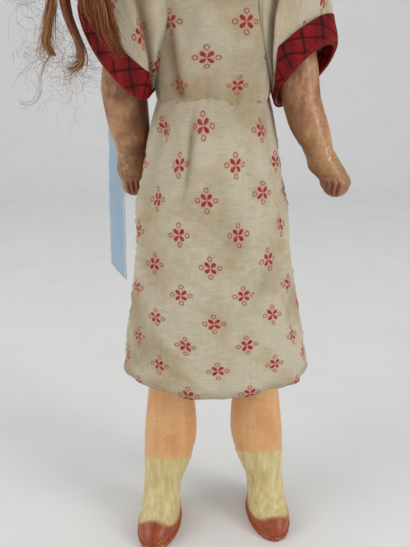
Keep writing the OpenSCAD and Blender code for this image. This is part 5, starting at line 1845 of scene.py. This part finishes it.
    def _sleeve(self, side: Side, cotton: PrintedCotton) -> Object:
        """A wide sleeve that leaves the bodice in one piece with it, folded at the armpit."""
        angle = circle(232, 360)
        share = np.linspace(-0.03, 1, 60)[:, None]
        depth, soil = self._drag(side, angle, share)
        depth = depth + 0.3 * wander(self.sleeve_points(side, angle, share, 0), 13, 41 + side.value)
        depth = depth * ease(share * 8 + 0.2) * ease((1.05 - share) * 4)
        points = self.sleeve_points(side, angle, share, depth)
        weave = self._cloth_map(points, 600)
        wide, tall = self.chest_period
        around, down, scale = self.sleeve_print[side]
        prints = stack(weave[..., 0] / wide / scale + around, (weave[..., 1] - 600) / tall / scale + down)
        piece = Piece(side.named("sleeve_cloth"))
        piece.grid(points * side.mirror, wrap=True, maps={"weave": weave, "print": prints},
                   marks={"soil": soil})
        made = thicken(piece.finish(cotton, side.named("sleeve")), self.cloth_t)
        return self._follow_arm(made)

    def _follow_arm(self, piece: Object) -> Object:
        """Bakes a sleeve's piece in place; it does not turn with the arm."""
        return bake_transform(piece)

    def _cuff(self, side: Side, tartan: Tartan) -> Object:
        """A bias band of even width turned back over the sleeve's end: up outside, round the rim, inside."""
        angle = circle(232, 360)
        _, pull, last = self.sleeve_lines(side, angle, 0)
        band = np.minimum(0.6, self.cuff_w / np.linalg.norm(2 * (last - pull), axis=-1))
        rim = np.linspace(0, math.pi, 9)[1:-1]
        back = np.concatenate([[1], np.linspace(1, 0, 30), -0.03 * np.sin(rim), np.linspace(0, 0.8, 12)])
        grow = np.concatenate(
            [[0.2], np.full(30, 1.25), -0.15 + 1.4 * np.cos(rim), np.full(12, -1.55)])[:, None]
        share = 1 - back[:, None] * band
        ripple = 0.35 * wander(self.sleeve_points(side, angle, share, 0), 16, 51 + side.value)
        points = self.sleeve_points(side, angle, share, grow + np.where(grow > 0.3, ripple, 0))
        # Paler paint along the rolled rim
        edge = 0.45 * bell(back - 0.02, 0.05)[:, None]
        piece = Piece(side.named("tartan_cuff"))
        piece.grid(points * side.mirror, wrap=True, maps={"weave": self._cloth_map(points, 0)},
                   marks={"edge": edge})
        made = thicken(piece.finish(tartan, side.named("cuff")), 0.4)
        return self._follow_arm(made)

    def _binding(self, cotton: PrintedCotton) -> Object:
        """A rolled strip round the neck, pinched at every stitch."""
        turn = np.linspace(0, TAU, 240, endpoint=False)[:, None]
        around = circle(18)
        r = 0.9 * (1 - 0.14 * np.cos(36 * turn) ** 8)
        ring = self.neckline_r - 0.55 + r * np.cos(around)
        points = stack(ring * np.cos(turn), ring * np.sin(turn), self.neckline_z + 0.95 + r * np.sin(around))
        points = np.concatenate([points, points[:1]])
        along = np.linspace(0, TAU, 241)[:, None] * self.neckline_r
        edge = np.linspace(0, TAU, 19)[None] * 0.9
        uv = stack(along, 800 + edge)
        prints = np.full(uv.shape, 0.25) * np.array([1, 0])
        piece = Piece("neck_roll")
        piece.grid(points, wrap=True, maps={"weave": uv, "print": prints})
        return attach(piece.finish(cotton, "neck_binding"), "torso")

    def _buttons(self) -> Object:
        """Three dished shell buttons with a raised rim and two sewing holes, down the back."""
        piece = Piece("shell_buttons")
        outline = [[0, 0.95], [0.9, 0.95], [1.5, 1.05], [1.9, 1.45], [2.25, 1.6], [2.5, 1.45], [2.6, 1],
                   [2.5, 0.4], [2.2, 0.1], [0, 0.1]]
        path = through([[i, *p] for i, p in enumerate(outline)], np.linspace(0.05, 8.95, 60))[:, 1:]
        turn = circle(72)
        for z in np.linspace(self.figure.waist_z + 16, self.figure.shoulder_z + 4, 3):
            x, up = path[:, :1] * np.cos(turn), path[:, :1] * np.sin(turn)
            hole = bell(np.hypot(np.abs(x) - 0.75, up), 0.28) * (np.linspace(0, 1, 60) < 0.5)[:, None]
            y = through(self.bodice_stations(), np.array([z]))[0, 2] + path[:, 1:] - 0.7 * hole - 0.2
            piece.grid(stack(x, y, z + up), wrap=True, fans=(True, True))
        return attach(piece.finish(SHELL_BUTTON, "back_buttons"), "torso")


@dataclass
class Trunk:
    """What the dress and head cover: cardboard body, stringing and the crown's lid, as in the frame."""

    frame: dict[str, Any]
    finishes: dict[str, GrainFinish] = field(default_factory=lambda: {
        "torso_front": CARDBOARD, "torso_back": CARDBOARD, "crown_pate": CARDBOARD,
        "neck_button": TURNED_WOOD, "neck_hook": STEEL_WIRE, "left_arm_hook": STEEL_WIRE,
        "right_arm_hook": STEEL_WIRE, "left_leg_hook": STEEL_WIRE, "right_leg_hook": STEEL_WIRE,
        "arm_elastic": ELASTIC, "leg_elastic": ELASTIC})

    def build(self) -> list[Object]:
        """Gives each node its finish and returns the nodes."""
        for name, finish in self.finishes.items():
            for place in self.frame["nodes"][name].material_slots:
                place.material = finish.material()
        return [self.frame["nodes"][name] for name in self.finishes]


@dataclass
class Studio:
    """Camera, pale floor with a curved back, and soft light from the doll's left."""

    camera_at: tuple[float, float, float] = (-0.0042, -0.350, 0.280)
    pitch_deg: float = 70.9
    lens_mm: float = 43.44
    key_w: float = 6.8
    fill_w: float = 5.0
    top_w: float = 2.0
    sky: float = 0.55
    # Height that the lights face, in metres
    aim_z: float = 0.2
    # Backdrop in millimetres: half width of the floor, start and radius of the bend, top of the wall
    floor_half: float = 9000.0
    bend_y: float = 900.0
    bend_r: float = 500.0
    wall_z: float = 6000.0

    def build(self) -> None:
        """Makes the stage, the lights and the camera."""
        scene = bpy.context.scene
        scene.view_settings.view_transform = "Standard"
        data = bpy.data.cameras.new("camera")
        data.lens, data.sensor_width, data.clip_start = self.lens_mm, 36, 0.01
        camera = bpy.data.objects.new("camera", data)
        camera.location, camera.rotation_euler = self.camera_at, (math.radians(self.pitch_deg), 0, 0)
        scene.collection.objects.link(camera)
        scene.camera = camera
        self._floor()
        self._light("key", (0.95, -0.6, 0.5), self.key_w, (0.4, 1.2))
        self._light("fill", (-0.95, -0.45, 0.6), self.fill_w, (0.8, 0.8))
        self._light("top", (0.1, 0.25, 1.2), self.top_w, (0.9, 0.9))
        world = bpy.data.worlds.new("studio")
        world.use_nodes = True
        world.node_tree.nodes["Background"].inputs["Color"].default_value = linear("#F2F3F6")
        world.node_tree.nodes["Background"].inputs["Strength"].default_value = self.sky
        scene.world = world

    def _light(self, name: str, at: tuple[float, float, float], watts: float,
               size: tuple[float, float]) -> None:
        """A soft light of a width and a height that faces the doll's middle."""
        data = bpy.data.lights.new(name, "AREA")
        data.energy, data.shape = watts, "RECTANGLE"
        data.size, data.size_y = size
        lamp = bpy.data.objects.new(name, data)
        bpy.context.scene.collection.objects.link(lamp)
        lamp.location = at
        away = np.array(at) - np.array([0, 0, self.aim_z])
        lamp.rotation_euler = (math.atan2(math.hypot(away[0], away[1]), away[2]), 0,
                               math.atan2(away[1], away[0]) + math.pi / 2)

    def _floor(self) -> None:
        """A floor that curves up into a backdrop in a quarter circle."""
        bend = np.linspace(0, math.pi / 2, 24)
        curve = np.array([self.bend_y, self.bend_r]) + self.bend_r * stack(np.sin(bend), -np.cos(bend))
        path = np.concatenate([[[-self.floor_half, 0]], curve, [[self.bend_y + self.bend_r, self.wall_z]]])
        wide = np.linspace(-self.floor_half, self.floor_half, 31)[:, None]
        points = stack(wide + 0 * path[:, 0], path[:, 0], path[:, 1])
        piece = Piece("studio_floor")
        piece.grid(points, flip=True)
        piece.finish(STUDIO_PAPER)


def main() -> None:
    """Builds the doll's sub-assemblies in order and reports each piece."""
    logging.basicConfig(level=logging.INFO, format="%(message)s")
    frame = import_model()
    figure = Figure.of_frame(frame)
    Studio().build()
    head = Head(figure)
    wig = Wig(figure, head)
    pieces = Trunk(frame).build() + head.build(FacePaint(), EyeGlass()) + wig.build(Hair())
    pieces += HairRibbon(figure, wig).build(Satin())
    arms = (
        Arm(figure, Side.LEFT, 107, (
            (0, 0, 0, 10.9), (0.2, 0.3, -0.9, 10.7), (0.5, 4.5, -3, 10.4), (0.67, 9.9, -5.8, 10.1),
            (0.78, 14.9, -8, 8.3), (0.87, 20.2, -9.5, 8), (1, 24.5, -11, 8.1)),
            side_shade=0.75, first_finger=212),
        Arm(figure, Side.RIGHT, 112, (
            (0, 0, 0, 10.9), (0.2, 2.1, 1.2, 11.2), (0.46, 6.6, 3.6, 11.9), (0.57, 6, 5.5, 11.6),
            (0.67, 5, 8, 10.8), (0.78, 4.3, 12, 8.7), (0.88, 4.4, 14, 8.2), (1, 4.6, 16, 8.1)),
            side_shade=0.95, first_finger=236))
    pieces += [arm.build(WornPaint()) for arm in arms]
    legs = (Leg(figure, Side.LEFT, step=0, shoe_front_z=13.5, seam=0),
            Leg(figure, Side.RIGHT, step=8, shoe_front_z=15, seam=1))
    pieces += [leg.build(LegPaint()) for leg in legs]
    pieces += Dress(figure).build(PrintedCotton(), Tartan())
    for piece in pieces:
        LOG.info("%s: %d faces", piece.name, len(piece.data.polygons))


if __name__ == "__main__":
    main()
